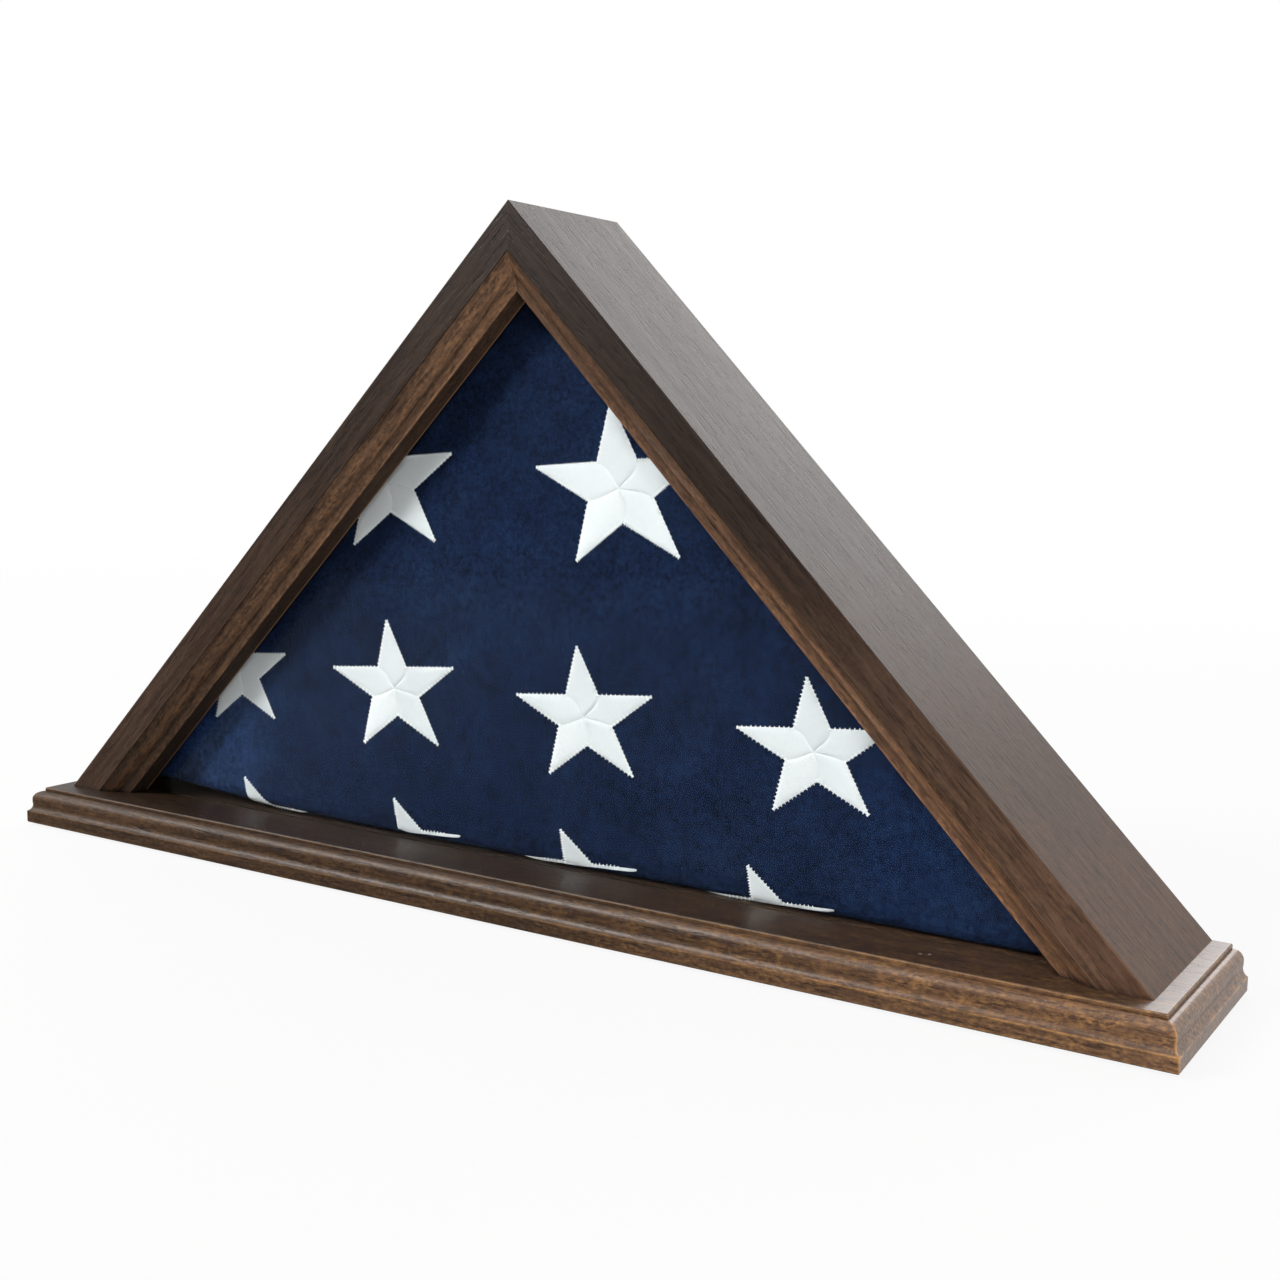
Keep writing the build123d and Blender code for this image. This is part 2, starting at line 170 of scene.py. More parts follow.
def objectPlace(tree):
    return addNode(tree, "ShaderNodeTexCoord").outputs["Object"]


def faceNormal(tree):
    return addNode(tree, "ShaderNodeNewGeometry").outputs["Normal"]


# A noise stretched along the axes. stretch is its waves per metre along each of them.
def noiseOn(tree, vector, stretch, detail=3.0, roughness=0.55, distortion=0.0):
    spread = addNode(tree, "ShaderNodeVectorMath", {0: vector, 1: stretch}, operation="MULTIPLY").outputs[0]
    return addNode(tree, "ShaderNodeTexNoise", {"Vector": spread, "Scale": 1.0, "Detail": detail,
                                                "Roughness": roughness, "Distortion": distortion}).outputs[0]


# A noise that is the same size along every axis
def evenNoise(tree, vector, scale, detail, roughness=0.5):
    return addNode(tree, "ShaderNodeTexNoise", {"Vector": vector, "Scale": scale, "Detail": detail,
                                                "Roughness": roughness}).outputs[0]


def bumpFrom(tree, height, strength, distance):
    return addNode(tree, "ShaderNodeBump", {"Height": height, "Strength": strength,
                                            "Distance": distance}).outputs[0]


def newGroup(name, inputs, outputs, kind="ShaderNodeTree"):
    group = bpy.data.node_groups.new(name, kind)
    for socketName, socketKind, value in inputs:
        socket = group.interface.new_socket(socketName, in_out="INPUT", socket_type=socketKind)
        if value is not None:
            socket.default_value = value
    for socketName, socketKind in outputs:
        group.interface.new_socket(socketName, in_out="OUTPUT", socket_type=socketKind)
    return group, group.nodes.new("NodeGroupInput"), group.nodes.new("NodeGroupOutput")


def useGroup(tree, group, values):
    return addNode(tree, "ShaderNodeGroup", values, node_tree=group).outputs


# In the dictionaries below, a noise is its waves per metre along x, y and z, then its detail,
# roughness and distortion. A range is the two values of a mask between which it fades in.

# Wood grain: the X axis of the vector runs along the board
grainSpec = {
    "tone": ((2.2, 26, 26), 4, 0.6, 0.4),
    "streak": ((13, 360, 360), 4, 0.65, 0.25),
    "fine": ((70, 820, 820), 3, 0.65),
    "pores": ((95, 950, 950), 2, 0.5),
    "mottle": ((52, 150, 150), 5, 0.65, 0.6),
    "speckle": ((330, 620, 620), 3, 0.7),
    "poreRange": (0.57, 0.66),
    "streakShare": 0.6, "fineShare": 0.4,
    "streakHeight": 0.6, "poreDepth": 0.8,
}


def makeGrainGroup():
    spec = grainSpec
    results = ("Tone", "Streak", "Pore", "Mottle", "Speckle", "Height")
    group, given, out = newGroup(
        "woodGrain",
        [("Vector", "NodeSocketVector", None), ("Seed", "NodeSocketFloat", 0.0)],
        [(name, "NodeSocketFloat") for name in results])
    seed = given.outputs["Seed"]
    offset = addNode(group, "ShaderNodeCombineXYZ", {0: seed, 1: seed, 2: seed}).outputs[0]
    here = addNode(group, "ShaderNodeVectorMath", {0: given.outputs["Vector"], 1: offset},
                   operation="ADD").outputs[0]
    names = ("tone", "streak", "fine", "pores", "mottle", "speckle")
    tone, streak, fine, pores, mottle, speckle = (noiseOn(group, here, *spec[name]) for name in names)
    pore = ramp(group, pores, *spec["poreRange"])
    streaks = plus(group, times(group, streak, spec["streakShare"]), times(group, fine, spec["fineShare"]))
    height = minus(group, times(group, streaks, spec["streakHeight"]), times(group, pore, spec["poreDepth"]))
    for name, value in zip(results, (tone, streaks, pore, mottle, speckle, height)):
        group.links.new(value, out.inputs[name])
    return group


# Worn edges: where a rounded normal leaves the face's own normal, broken up by a noise. Also a recess mask
# from ambient occlusion, for grime in the joints and painted shade in the recesses
wearSpec = {
    "edgeRange": (0.995, 0.86),  # how nearly the rounded normal agrees with the face's
    "patchDetail": 4.0, "patchRoughness": 0.65, "patchRange": (0.36, 0.62),
    "cornerReach": 0.0035, "openRange": (0.72, 0.93), "recessRange": (0.8, 0.35),
    "samples": 6,
}


def makeWearAndShadeGroup():
    spec = wearSpec
    group, given, out = newGroup(
        "edgeWearAndShade",
        [("Vector", "NodeSocketVector", None), ("Reach", "NodeSocketFloat", 0.0012),
         ("Patches", "NodeSocketFloat", 90.0)],
        [("Wear", "NodeSocketFloat"), ("RecessGrimeAndShade", "NodeSocketFloat")])
    rounded = addNode(group, "ShaderNodeBevel", {"Radius": given.outputs["Reach"]}, samples=spec["samples"])
    match = addNode(group, "ShaderNodeVectorMath", {0: rounded.outputs[0], 1: faceNormal(group)},
                    operation="DOT_PRODUCT").outputs["Value"]
    edge = ramp(group, match, *spec["edgeRange"])
    patches = evenNoise(group, given.outputs["Vector"], given.outputs["Patches"], spec["patchDetail"],
                        spec["patchRoughness"])
    shut = addNode(group, "ShaderNodeAmbientOcclusion", {"Distance": spec["cornerReach"]},
                   samples=spec["samples"]).outputs["AO"]
    broken = times(group, ramp(group, patches, *spec["patchRange"]), ramp(group, shut, *spec["openRange"]))
    group.links.new(times(group, edge, broken, True), out.inputs["Wear"])
    group.links.new(ramp(group, shut, *spec["recessRange"]), out.inputs["RecessGrimeAndShade"])
    return group


# Plain weave: u and v of the cloth in metres
weaveSpec = {
    "wander": (260.0, 2.0), "drift": 0.5,  # noise that makes the threads wander, and how far in threads
    "slub": (900.0, 2.0, 0.7),  # uneven thickness of the yarn
    "heightShare": 0.35, "slubShare": 0.65,
}


def makeWeaveGroup():
    spec = weaveSpec
    group, given, out = newGroup(
        "clothWeave",
        [("Vector", "NodeSocketVector", None), ("Threads", "NodeSocketFloat", 1500.0)],
        [("Height", "NodeSocketFloat"), ("Shade", "NodeSocketFloat")])
    loose = evenNoise(group, given.outputs["Vector"], *spec["wander"])
    parts = axesOf(group, scaled(group, given.outputs["Vector"], given.outputs["Threads"]))
    drift = times(group, loose, spec["drift"])
    warp = maths(group, "SINE", times(group, plus(group, parts[0], drift), 2 * math.pi))
    weft = maths(group, "SINE", times(group, minus(group, parts[1], drift), 2 * math.pi))
    height = plus(group, times(group, times(group, warp, weft), 0.5), 0.5)
    slub = evenNoise(group, given.outputs["Vector"], *spec["slub"])
    # Shade is partly painted shade in the dips of the weave and partly the yarn's uneven thickness
    shade = plus(group, times(group, height, spec["heightShare"]), times(group, slub, spec["slubShare"]))
    group.links.new(height, out.inputs["Height"])
    group.links.new(shade, out.inputs["Shade"])
    return group


# Settled dust: pale specks on what faces up
dustSpec = {
    "cells": 210.0,  # per metre
    "drifts": (120.0, 1.0), "driftRange": (0.55, 0.78), "speckSize": 0.17,
    "upRange": (0.6, 0.95),
}


def makeDustGroup():
    spec = dustSpec
    group, given, out = newGroup(
        "settledDust",
        [("Vector", "NodeSocketVector", None), ("Amount", "NodeSocketFloat", 0.5)],
        [("Dust", "NodeSocketFloat")])
    cells = addNode(group, "ShaderNodeTexVoronoi", {
        "Vector": given.outputs["Vector"], "Scale": spec["cells"]}, feature="F1")
    drifts = evenNoise(group, given.outputs["Vector"], *spec["drifts"])
    speck = ramp(group, drifts, *spec["driftRange"], 0.0, spec["speckSize"])
    grain = maths(group, "LESS_THAN", cells.outputs["Distance"], speck)
    up = axesOf(group, faceNormal(group))[2]
    lying = times(group, grain, ramp(group, up, *spec["upRange"]))
    group.links.new(times(group, lying, given.outputs["Amount"], True), out.inputs["Dust"])
    return group


grainGroup = makeGrainGroup()
wearAndShadeGroup = makeWearAndShadeGroup()
weaveGroup = makeWeaveGroup()
dustGroup = makeDustGroup()
print("shader groups built")


def newMaterial(name):
    material = bpy.data.materials.new(name)
    material.use_nodes = True
    tree = material.node_tree
    tree.nodes.clear()
    surface = tree.nodes.new("ShaderNodeBsdfPrincipled")
    output = tree.nodes.new("ShaderNodeOutputMaterial")
    tree.links.new(surface.outputs[0], output.inputs["Surface"])
    return material, tree, surface


def connect(tree, surface, links, plain=None):
    for name, value in links.items():
        tree.links.new(value, surface.inputs[name])
    for name, value in (plain or {}).items():
        surface.inputs[name].default_value = value


# Puts another shader in the place of the plain surface
def showShader(tree, shader):
    output = next(node for node in tree.nodes if node.type == "OUTPUT_MATERIAL")
    tree.links.new(shader, output.inputs["Surface"])


# Stained and lacquered wood. Each kind of board changes a few of these tones.
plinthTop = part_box("base_plinth")[1].z
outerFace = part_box("left_side_board")[1].z / math.sqrt(2)  # of a side board, along the board's own Z axis
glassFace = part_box("glass_pane")[0].y
woodTones = {
    "toneRange": (0.3, 0.7), "streakRange": (0.42, 0.62), "mottleRange": (0.28, 0.68),
    "speckleRange": (0.40, 0.68), "roughRange": (0.3, 0.7), "roughSpread": (-0.05, 0.07),
    "dark": (0.027, 0.0142, 0.0092), "mid": (0.047, 0.0235, 0.0140), "light": (0.098, 0.054, 0.033),
    "gold": (0.27, 0.135, 0.052), "poreAndShadeColour": (0.008, 0.0045, 0.0032), "dustColour": (0.42, 0.37, 0.33),
    "recessGrimeAndShade": 0.75, "gloss": 0.45, "coatRoughness": 0.2, "bump": 0.4, "bumpDistance": 0.0003,
    "turn": 0.0, "seed": 0.0,  # degrees from the X axis about Y, and the offset of the grain
    "streak": 0.6, "fleck": 0.14, "pore": 0.5, "rough": 0.42, "dust": 0.0,
    "wear": 0.3, "wearReach": 0.0010, "patches": 90.0,
    "fade": (2, 0.33, 0.05, 0.66, 1.35),  # axis, from, to, and the strength of the painted light and shade at each
    "topFace": 0,  # the strength of the painted shade on the plinth's top face
    "wall": 0,  # how dark the painted shade on the moulding's inner wall is
    "coat": None,  # axis, from, to, and the weight of the lacquer at the end
}
mouldingSpec = {
    "boardFace": 0.016, "reach": 0.029,  # from a board's outer face to its inner face and the moulding's wall
    "profileShade": ((0.001, 0.45), (0.10, 0.62), (0.30, 1.15), (0.42, 1.25), (0.54, 0.95),
              (0.60, 0.5), (0.68, 0.75), (0.88, 0.95), (0.985, 1.35)),  # painted shade and highlights: share of the width, and strength
    "wallEdge": (-0.0003, -0.0001), "wallRough": 0.4,
    "rimEdge": (-0.0013, -0.0008), "rimGold": 0.8,
}
topEdge = (-0.0004, -0.0001)  # how near the plinth's top a face has to be to count as it


def woodColour(tree, spec, grain, wear):
    colour = blendColour(tree, ramp(tree, grain["Tone"], *spec["toneRange"]), spec["dark"], spec["mid"])
    streak = ramp(tree, grain["Streak"], *spec["streakRange"], 0, spec["streak"])
    colour = blendColour(tree, streak, colour, spec["light"])
    golden = times(tree, ramp(tree, grain["Mottle"], *spec["mottleRange"]),
                   ramp(tree, grain["Speckle"], *spec["speckleRange"]))
    # Pores and worn edges are the wood's own; the recess darkening is grime in the joints and painted shade
    # in the recesses
    for mask, share, tone in ((golden, "fleck", "gold"), (grain["Pore"], "pore", "poreAndShadeColour"),
                              (wear["Wear"], "wear", "gold"), (wear["RecessGrimeAndShade"], "recessGrimeAndShade", "poreAndShadeColour")):
        colour = blendColour(tree, times(tree, mask, spec[share], True), colour, spec[tone])
    return colour


# Painted light and shade: the colour is made lighter or darker along the part, and darker on the plinth's top
# face, as the light falls on it
def paintedLightStrength(tree, spec, place):
    axis, start, end, first, last = spec["fade"]
    paintedLight = ramp(tree, place[axis], start, end, first, last)
    if spec["topFace"]:
        onTop = ramp(tree, place[2], plinthTop + topEdge[0], plinthTop + topEdge[1])
        paintedLight = times(tree, paintedLight, ramp(tree, onTop, 0, 1, 1, spec["topFace"]))
    return paintedLight


# The moulding's steps get painted shade and highlights across their width. Its inner wall gets painted shade,
# with a golden line at the glass.
def paintMouldingShade(tree, spec, colour, rough, inward, depth):
    reach = mouldingSpec["reach"]
    # Painted shade and highlights across the profile's steps, dark in the groove and bright on the curve
    profileShade = addNode(tree, "ShaderNodeValToRGB", {"Fac": ramp(tree, inward, mouldingSpec["boardFace"], reach)})
    stops = profileShade.color_ramp.elements
    stops.remove(stops[1])
    for spot, strength in mouldingSpec["profileShade"]:
        stops.new(spot).color = (strength, strength, strength, 1)
    stops.remove(stops[0])
    colour = blendColour(tree, 1.0, colour, profileShade.outputs[0], "MULTIPLY")
    # Painted shade: the inner wall is darkened towards the pore colour, as the frame shades it
    wall = ramp(tree, inward, *(reach + edge for edge in mouldingSpec["wallEdge"]))
    colour = blendColour(tree, times(tree, wall, spec["wall"]), colour, spec["poreAndShadeColour"])
    rim = times(tree, wall, ramp(tree, depth, *(glassFace + edge for edge in mouldingSpec["rimEdge"])))
    colour = blendColour(tree, times(tree, rim, mouldingSpec["rimGold"]), colour, spec["gold"])
    return colour, plus(tree, rough, times(tree, wall, mouldingSpec["wallRough"]), True)


def stainedWood(name, spec):
    material, tree, surface = newMaterial(name)
    here = objectPlace(tree)
    turned = (0, math.radians(spec["turn"]), 0)
    along = addNode(tree, "ShaderNodeMapping", {"Vector": here, "Rotation": turned}).outputs[0]
    place = axesOf(tree, here)
    grain = useGroup(tree, grainGroup, {"Vector": along, "Seed": spec["seed"]})
    wear = useGroup(tree, wearAndShadeGroup, {"Vector": here, "Reach": spec["wearReach"], "Patches": spec["patches"]})
    dust = useGroup(tree, dustGroup, {"Vector": here, "Amount": spec["dust"]})
    rough = ramp(tree, grain["Streak"], *spec["roughRange"],
                 *(spec["rough"] + change for change in spec["roughSpread"]))
    colour = scaled(tree, woodColour(tree, spec, grain, wear), paintedLightStrength(tree, spec, place))
    if spec["wall"]:
        inward = minus(tree, outerFace, axesOf(tree, along)[2])
        colour, rough = paintMouldingShade(tree, spec, colour, rough, inward, place[1])
    colour = blendColour(tree, dust["Dust"], colour, spec["dustColour"])
    bump = bumpFrom(tree, grain["Height"], spec["bump"], spec["bumpDistance"])
    connect(tree, surface, {"Base Color": colour, "Roughness": rough, "Normal": bump},
            {"Specular IOR Level": spec["gloss"], "Coat Roughness": spec["coatRoughness"]})
    if spec["coat"]:
        axis, start, end, weight = spec["coat"]
        tree.links.new(ramp(tree, place[axis], start, end, 0, weight), surface.inputs["Coat Weight"])
    return material


# Each fade and topFace below is painted light and shade, and wall is painted shade on the moulding's inner
# wall
woodFinishes = {
    "leftBoardWood": {"turn": 45, "seed": 1.3, "fade": (2, 0.33, 0.05, 0.45, 1.1)},
    "rightBoardWood": {"turn": -45, "seed": 4.1, "fleck": 0.16, "fade": (2, 0.2, 0.045, 0.4, 2.0)},
    "leftMouldingWood": {
        "turn": 45, "seed": 7.7, "light": (0.15, 0.078, 0.040), "fleck": 0.6, "wear": 0.45,
        "fade": (2, 0.33, 0.05, 2.5, 0.95), "wall": 0.8},
    "rightMouldingWood": {
        "turn": -45, "seed": 9.2, "light": (0.12, 0.062, 0.034), "fleck": 0.45, "wear": 0.7,
        "fade": (2, 0.33, 0.05, 1.4, 2.6), "wall": 0.8},
    "plinthWood": {
        "seed": 2.6, "light": (0.11, 0.056, 0.029), "gold": (0.29, 0.15, 0.05), "fleck": 0.6, "wear": 1.0,
        "wearReach": 0.0019, "patches": 170.0, "rough": 0.44, "dust": 0.8, "fade": (0, 0.02, 0.36, 0.8, 2.8),
        "topFace": 0.4, "coat": (0, 0.30, 0.345, 1.0)},
    "hiddenWood": {
        "seed": 5.5, "dark": (0.10, 0.062, 0.038), "mid": (0.17, 0.105, 0.062), "light": (0.27, 0.18, 0.11),
        "gold": (0.33, 0.22, 0.13), "poreAndShadeColour": (0.05, 0.03, 0.02), "rough": 0.6, "wear": 0.2},
    "leftBeadWood": {"turn": 45, "seed": 3.9},
    "rightBeadWood": {"turn": -45, "seed": 6.4},
    "doorVeneer": {"seed": 8.8, "rough": 0.5, "fleck": 0.2, "wear": 0.6, "streak": 0.7},
}
finishes = {name: stainedWood(name, {**woodTones, **changes}) for name, changes in woodFinishes.items()}


# Brass and steel, with drawn lines and a light patina
metalSpec = {
    "lines": ((60, 2600, 2600), 2, 0.6), "lineRange": (0.3, 0.7), "lineRough": (-0.06, 0.08),
    "patina": ((160, 160, 160), 5, 0.65, 0.5), "tarnishRange": (0.42, 0.72), "tarnishShare": 0.8,
    "patinaRange": (0.4, 0.75), "patinaRough": 0.16,
    "wearReach": 0.0004, "patches": 300.0, "wear": 0.6, "wornGain": 1.25,
    "bump": 0.25, "bumpDistance": 0.00005,
}


def wornMetal(name, colour, tarnish, rough):
    spec = metalSpec
    material, tree, surface = newMaterial(name)
    here = objectPlace(tree)
    lines, patina = noiseOn(tree, here, *spec["lines"]), noiseOn(tree, here, *spec["patina"])
    wear = useGroup(tree, wearAndShadeGroup, {"Vector": here, "Reach": spec["wearReach"], "Patches": spec["patches"]})
    dulled = ramp(tree, patina, *spec["tarnishRange"], 0.0, spec["tarnishShare"])
    bright = [min(1, spec["wornGain"] * channel) for channel in colour]
    shade = blendColour(tree, dulled, colour, tarnish)
    shade = blendColour(tree, times(tree, wear["Wear"], spec["wear"]), shade, bright)
    drawn = ramp(tree, lines, *spec["lineRange"], *(rough + change for change in spec["lineRough"]))
    roughness = plus(tree, drawn, ramp(tree, patina, *spec["patinaRange"], 0.0, spec["patinaRough"]), True)
    bump = bumpFrom(tree, lines, spec["bump"], spec["bumpDistance"])
    connect(tree, surface, {"Base Color": shade, "Roughness": roughness, "Normal": bump}, {"Metallic": 1.0})
    return material


# Glass pane with a slight haze. Lamps shine through it.
glassSpec = {
    "haze": ((18, 18, 18), 4, 0.6, 0.6), "hazeRange": (0.45, 0.8), "hazeRough": 0.035,
    "tint": (0.985, 0.995, 0.99, 1), "bending": 1.13, "shadowTint": (0.97, 0.985, 0.98, 1),
}


def paneGlass(name):
    spec = glassSpec
    material, tree, surface = newMaterial(name)
    haze = noiseOn(tree, objectPlace(tree), *spec["haze"])
    connect(tree, surface, {"Roughness": ramp(tree, haze, *spec["hazeRange"], 0.0, spec["hazeRough"])},
            {"Base Color": spec["tint"], "Transmission Weight": 1.0, "IOR": spec["bending"]})
    clear = addNode(tree, "ShaderNodeBsdfTransparent", {"Color": spec["shadowTint"]})
    shadowRay = addNode(tree, "ShaderNodeLightPath").outputs["Is Shadow Ray"]
    mixed = addNode(tree, "ShaderNodeMixShader", {0: shadowRay, 1: surface.outputs[0], 2: clear.outputs[0]})
    showShader(tree, mixed.outputs[0])
    return material


# Cloth of the flag. The UV map is in metres along the warp and the weft.
clothSpec = {
    "dark": (0.0011, 0.0039, 0.0145), "light": (0.0045, 0.0128, 0.0400), "rubbed": (0.0074, 0.0165, 0.0440),
    "threads": 1350.0, "shadeRange": (0.36, 0.62),
    "clouds": ((13, 13, 13), 5, 0.62, 0.5), "cloudRange": (0.4, 0.68), "cloudShare": 0.55,
    "nap": ((400, 400, 400), 4, 0.8), "napRange": (0.33, 0.67), "napStrength": (0.4, 1.6),
    "drape": ((44, 44, 44), 3, 0.6), "drapeRange": (0.36, 0.64), "drapeStrength": (0.82, 1.18),
    "paintedHighlights": (((-0.235, -0.05, 0.075), 0.095, 2.6), ((0.215, -0.05, 0.06), 0.09, 0.5),
              ((0.01, -0.05, 0.20), 0.06, 0.35)),  # painted highlights: centre, reach, and how much paler
    "bump": 0.3, "bumpDistance": 0.0001,
    "rough": 0.8, "gloss": 0.05, "sheen": 0.015, "sheenTint": (0.45, 0.58, 0.9, 1), "sheenRoughness": 0.5,
}


def flagCloth(name):
    spec = clothSpec
    material, tree, surface = newMaterial(name)
    uv = addNode(tree, "ShaderNodeUVMap", uv_map="clothUv").outputs[0]
    here = objectPlace(tree)
    weave = useGroup(tree, weaveGroup, {"Vector": uv, "Threads": spec["threads"]})
    cloudy = ramp(tree, noiseOn(tree, here, *spec["clouds"]), *spec["cloudRange"], 0.0, spec["cloudShare"])
    colour = blendColour(tree, ramp(tree, weave["Shade"], *spec["shadeRange"]), spec["dark"], spec["light"])
    colour = blendColour(tree, cloudy, colour, spec["rubbed"])
    strength = times(
        tree, ramp(tree, noiseOn(tree, here, *spec["nap"]), *spec["napRange"], *spec["napStrength"]),
        ramp(tree, noiseOn(tree, here, *spec["drape"]), *spec["drapeRange"], *spec["drapeStrength"]))
    # Painted highlights: soft pale spots on the cloth where light would pool on it
    for centre, reach, gain in spec["paintedHighlights"]:
        away = addNode(tree, "ShaderNodeVectorMath", {0: here, 1: centre}, operation="DISTANCE")
        glow = ramp(tree, away.outputs["Value"], reach, 0.0, 0.0, gain, "SMOOTHSTEP")
        strength = times(tree, strength, plus(tree, glow, 1.0))
    bump = bumpFrom(tree, weave["Height"], spec["bump"], spec["bumpDistance"])
    connect(tree, surface, {"Base Color": scaled(tree, colour, strength), "Normal": bump},
            {"Roughness": spec["rough"], "Specular IOR Level": spec["gloss"], "Sheen Weight": spec["sheen"],
             "Sheen Roughness": spec["sheenRoughness"], "Sheen Tint": spec["sheenTint"]})
    return material


# White satin stitch. The UV map has u along the thread and v across the threads, in metres.
threadSpec = {
    "groove": (0.46, 0.50, 0.54), "crest": (0.81, 0.85, 0.87), "crestRange": (0.0, 0.55),
    "threads": 2300.0,  # per metre
    "wander": ((300, 300, 300), 2),
    "flecks": ((260, 1900, 1), 3, 0.7), "fleckRange": (0.35, 0.7), "fleckShare": 0.35,
    "fleckColour": (0.52, 0.56, 0.60), "armShadeColour": (0.47, 0.51, 0.55),
    "bump": 0.6, "bumpDistance": 0.00025,
    "rough": 0.46, "sheen": 0.25, "sheenRoughness": 0.4,
}


def starThread(name, shaded):
    spec = threadSpec
    material, tree, surface = newMaterial(name)
    uv = addNode(tree, "ShaderNodeUVMap", uv_map="threadUv").outputs[0]
    wander = noiseOn(tree, uv, *spec["wander"])
    phase = times(tree, plus(tree, times(tree, axesOf(tree, uv)[1], spec["threads"]), wander), math.pi)
    thread = maths(tree, "ABSOLUTE", maths(tree, "SINE", phase))
    flecks = ramp(tree, noiseOn(tree, uv, *spec["flecks"]), *spec["fleckRange"], 0.0, spec["fleckShare"])
    # Painted shade: the grooves between the threads are darker than their crests
    colour = blendColour(tree, ramp(tree, thread, *spec["crestRange"]), spec["groove"], spec["crest"])
    colour = blendColour(tree, flecks, colour, spec["fleckColour"])
    # Painted shade: each arm is darkened by its own share, as light would catch its thread
    if shaded:
        arm = addNode(tree, "ShaderNodeAttribute", attribute_name="paintedArmShade").outputs["Fac"]
        colour = blendColour(tree, arm, spec["armShadeColour"], colour)
    bump = bumpFrom(tree, thread, spec["bump"], spec["bumpDistance"])
    connect(tree, surface, {"Base Color": colour, "Normal": bump},
            {"Roughness": spec["rough"], "Sheen Weight": spec["sheen"],
             "Sheen Roughness": spec["sheenRoughness"]})
    return material


feltSpec = {
    "dark": (0.012, 0.008, 0.006), "light": (0.055, 0.038, 0.028), "lintColour": (0.20, 0.16, 0.13),
    "matted": ((900, 900, 900), 5, 0.75, 1.2), "mattedRange": (0.35, 0.7),
    "lint": ((2600, 2600, 900), 2, 0.6, 2.0), "lintRange": (0.66, 0.76), "lintShare": 0.7,
    "bump": 0.9, "bumpDistance": 0.0004,
    "rough": 0.95, "sheen": 0.4, "gloss": 0.1,
}


def padFelt(name):
    spec = feltSpec
    material, tree, surface = newMaterial(name)
    here = objectPlace(tree)
    matted = noiseOn(tree, here, *spec["matted"])
    lint = ramp(tree, noiseOn(tree, here, *spec["lint"]), *spec["lintRange"], 0.0, spec["lintShare"])
    colour = blendColour(tree, ramp(tree, matted, *spec["mattedRange"]), spec["dark"], spec["light"])
    colour = blendColour(tree, lint, colour, spec["lintColour"])
    bump = bumpFrom(tree, matted, spec["bump"], spec["bumpDistance"])
    connect(tree, surface, {"Base Color": colour, "Normal": bump},
            {"Roughness": spec["rough"], "Sheen Weight": spec["sheen"], "Specular IOR Level": spec["gloss"]})
    return material


finishes.update({
    "hingeBrass": wornMetal("hingeBrass", (0.72, 0.50, 0.20), (0.30, 0.18, 0.07), 0.28),
    "plainSteel": wornMetal("plainSteel", (0.55, 0.55, 0.54), (0.24, 0.22, 0.20), 0.30),
    "paneGlass": paneGlass("paneGlass"),
    "flagCloth": flagCloth("flagCloth"),
    "starThread": starThread("starThread", True),
    "edgeThread": starThread("edgeThread", False),
    "padFelt": padFelt("padFelt"),
})

nodeFinish = {
    "leftBoardWood": ["left_side_board"],
    "rightBoardWood": ["right_side_board"],
    "leftMouldingWood": ["left_front_moulding"],
    "rightMouldingWood": ["right_front_moulding"],
    "plinthWood": ["base_plinth"],
    "hiddenWood": ["apex_biscuits", "catch_rail"],
    "leftBeadWood": ["left_glass_bead", "left_door_stop", "left_corner_block"],
    "rightBeadWood": ["right_glass_bead", "right_door_stop", "right_corner_block"],
    "doorVeneer": ["back_door_panel"],
    "paneGlass": ["glass_pane"],
    "hingeBrass": ["left_hinge_plinth_leaf", "right_hinge_plinth_leaf", "left_hinge_door_leaf",
                   "right_hinge_door_leaf", "left_hinge_pin", "right_hinge_pin", "hinge_plinth_screws",
                   "hinge_door_screws", "glass_bead_brads", "door_stop_brads"],
    "plainSteel": ["base_screws", "catch_magnet", "strike_disc", "strike_screw"],
}
for finish, names in nodeFinish.items():
    for name in names:
        mesh = cadNodes[name].data
        mesh.materials.clear()
        mesh.materials.append(finishes[finish])
        mesh.polygons.foreach_set("material_index", [0] * len(mesh.polygons))
print("wood, glass and metal finishes set")


# The folded flag. A strip four plies deep, rolled into a triangle: every second turn passes under
# the long bottom edge, and the turns between pass round one leg or the other. Lengths in metres.
flagSpec = {
    "flat": (1.524, 2.896),
    "plies": 60,  # through the thickness
    "stripPlies": 4,
    "edgeRound": 0.0052, "roundLoss": 0.7,  # radius of the outer ply's turn, and the share of inset off it
    "tightRound": 0.0012,
    "frontRoom": 0.0009,  # room for the stars' thread in front of the cloth
    "relief": 0.0015, "reliefDepth": 0.01,  # height of the front's relief, and how fast it dies out inwards
    "cornerRise": 0.0065,  # how far the bottom edge is lifted at its left end
    "cornerSpan": (0.09, 0.17), "cornerHeight": 0.05, "cornerDepth": 0.006,
    "bluntInset": 1.25, "bluntRound": 0.0006, "bluntReach": 0.002, "narrowest": 0.0012,
    "tipGap": 0.0016, "rowCrowding": 1.15, "columnCrowding": 0.93,
    "wrapBulge": 0.0006, "wrapTurn": (0.72, 1.5),  # how far on a turn leaves its leg, and how sharply
    "weaveShift": 0.013, "weaveRun": 0.5,
    "fineRows": 84, "fineColumns": 120,
    "innerRows": 16, "innerColumns": 20,
    "wrapSteps": 8,
}
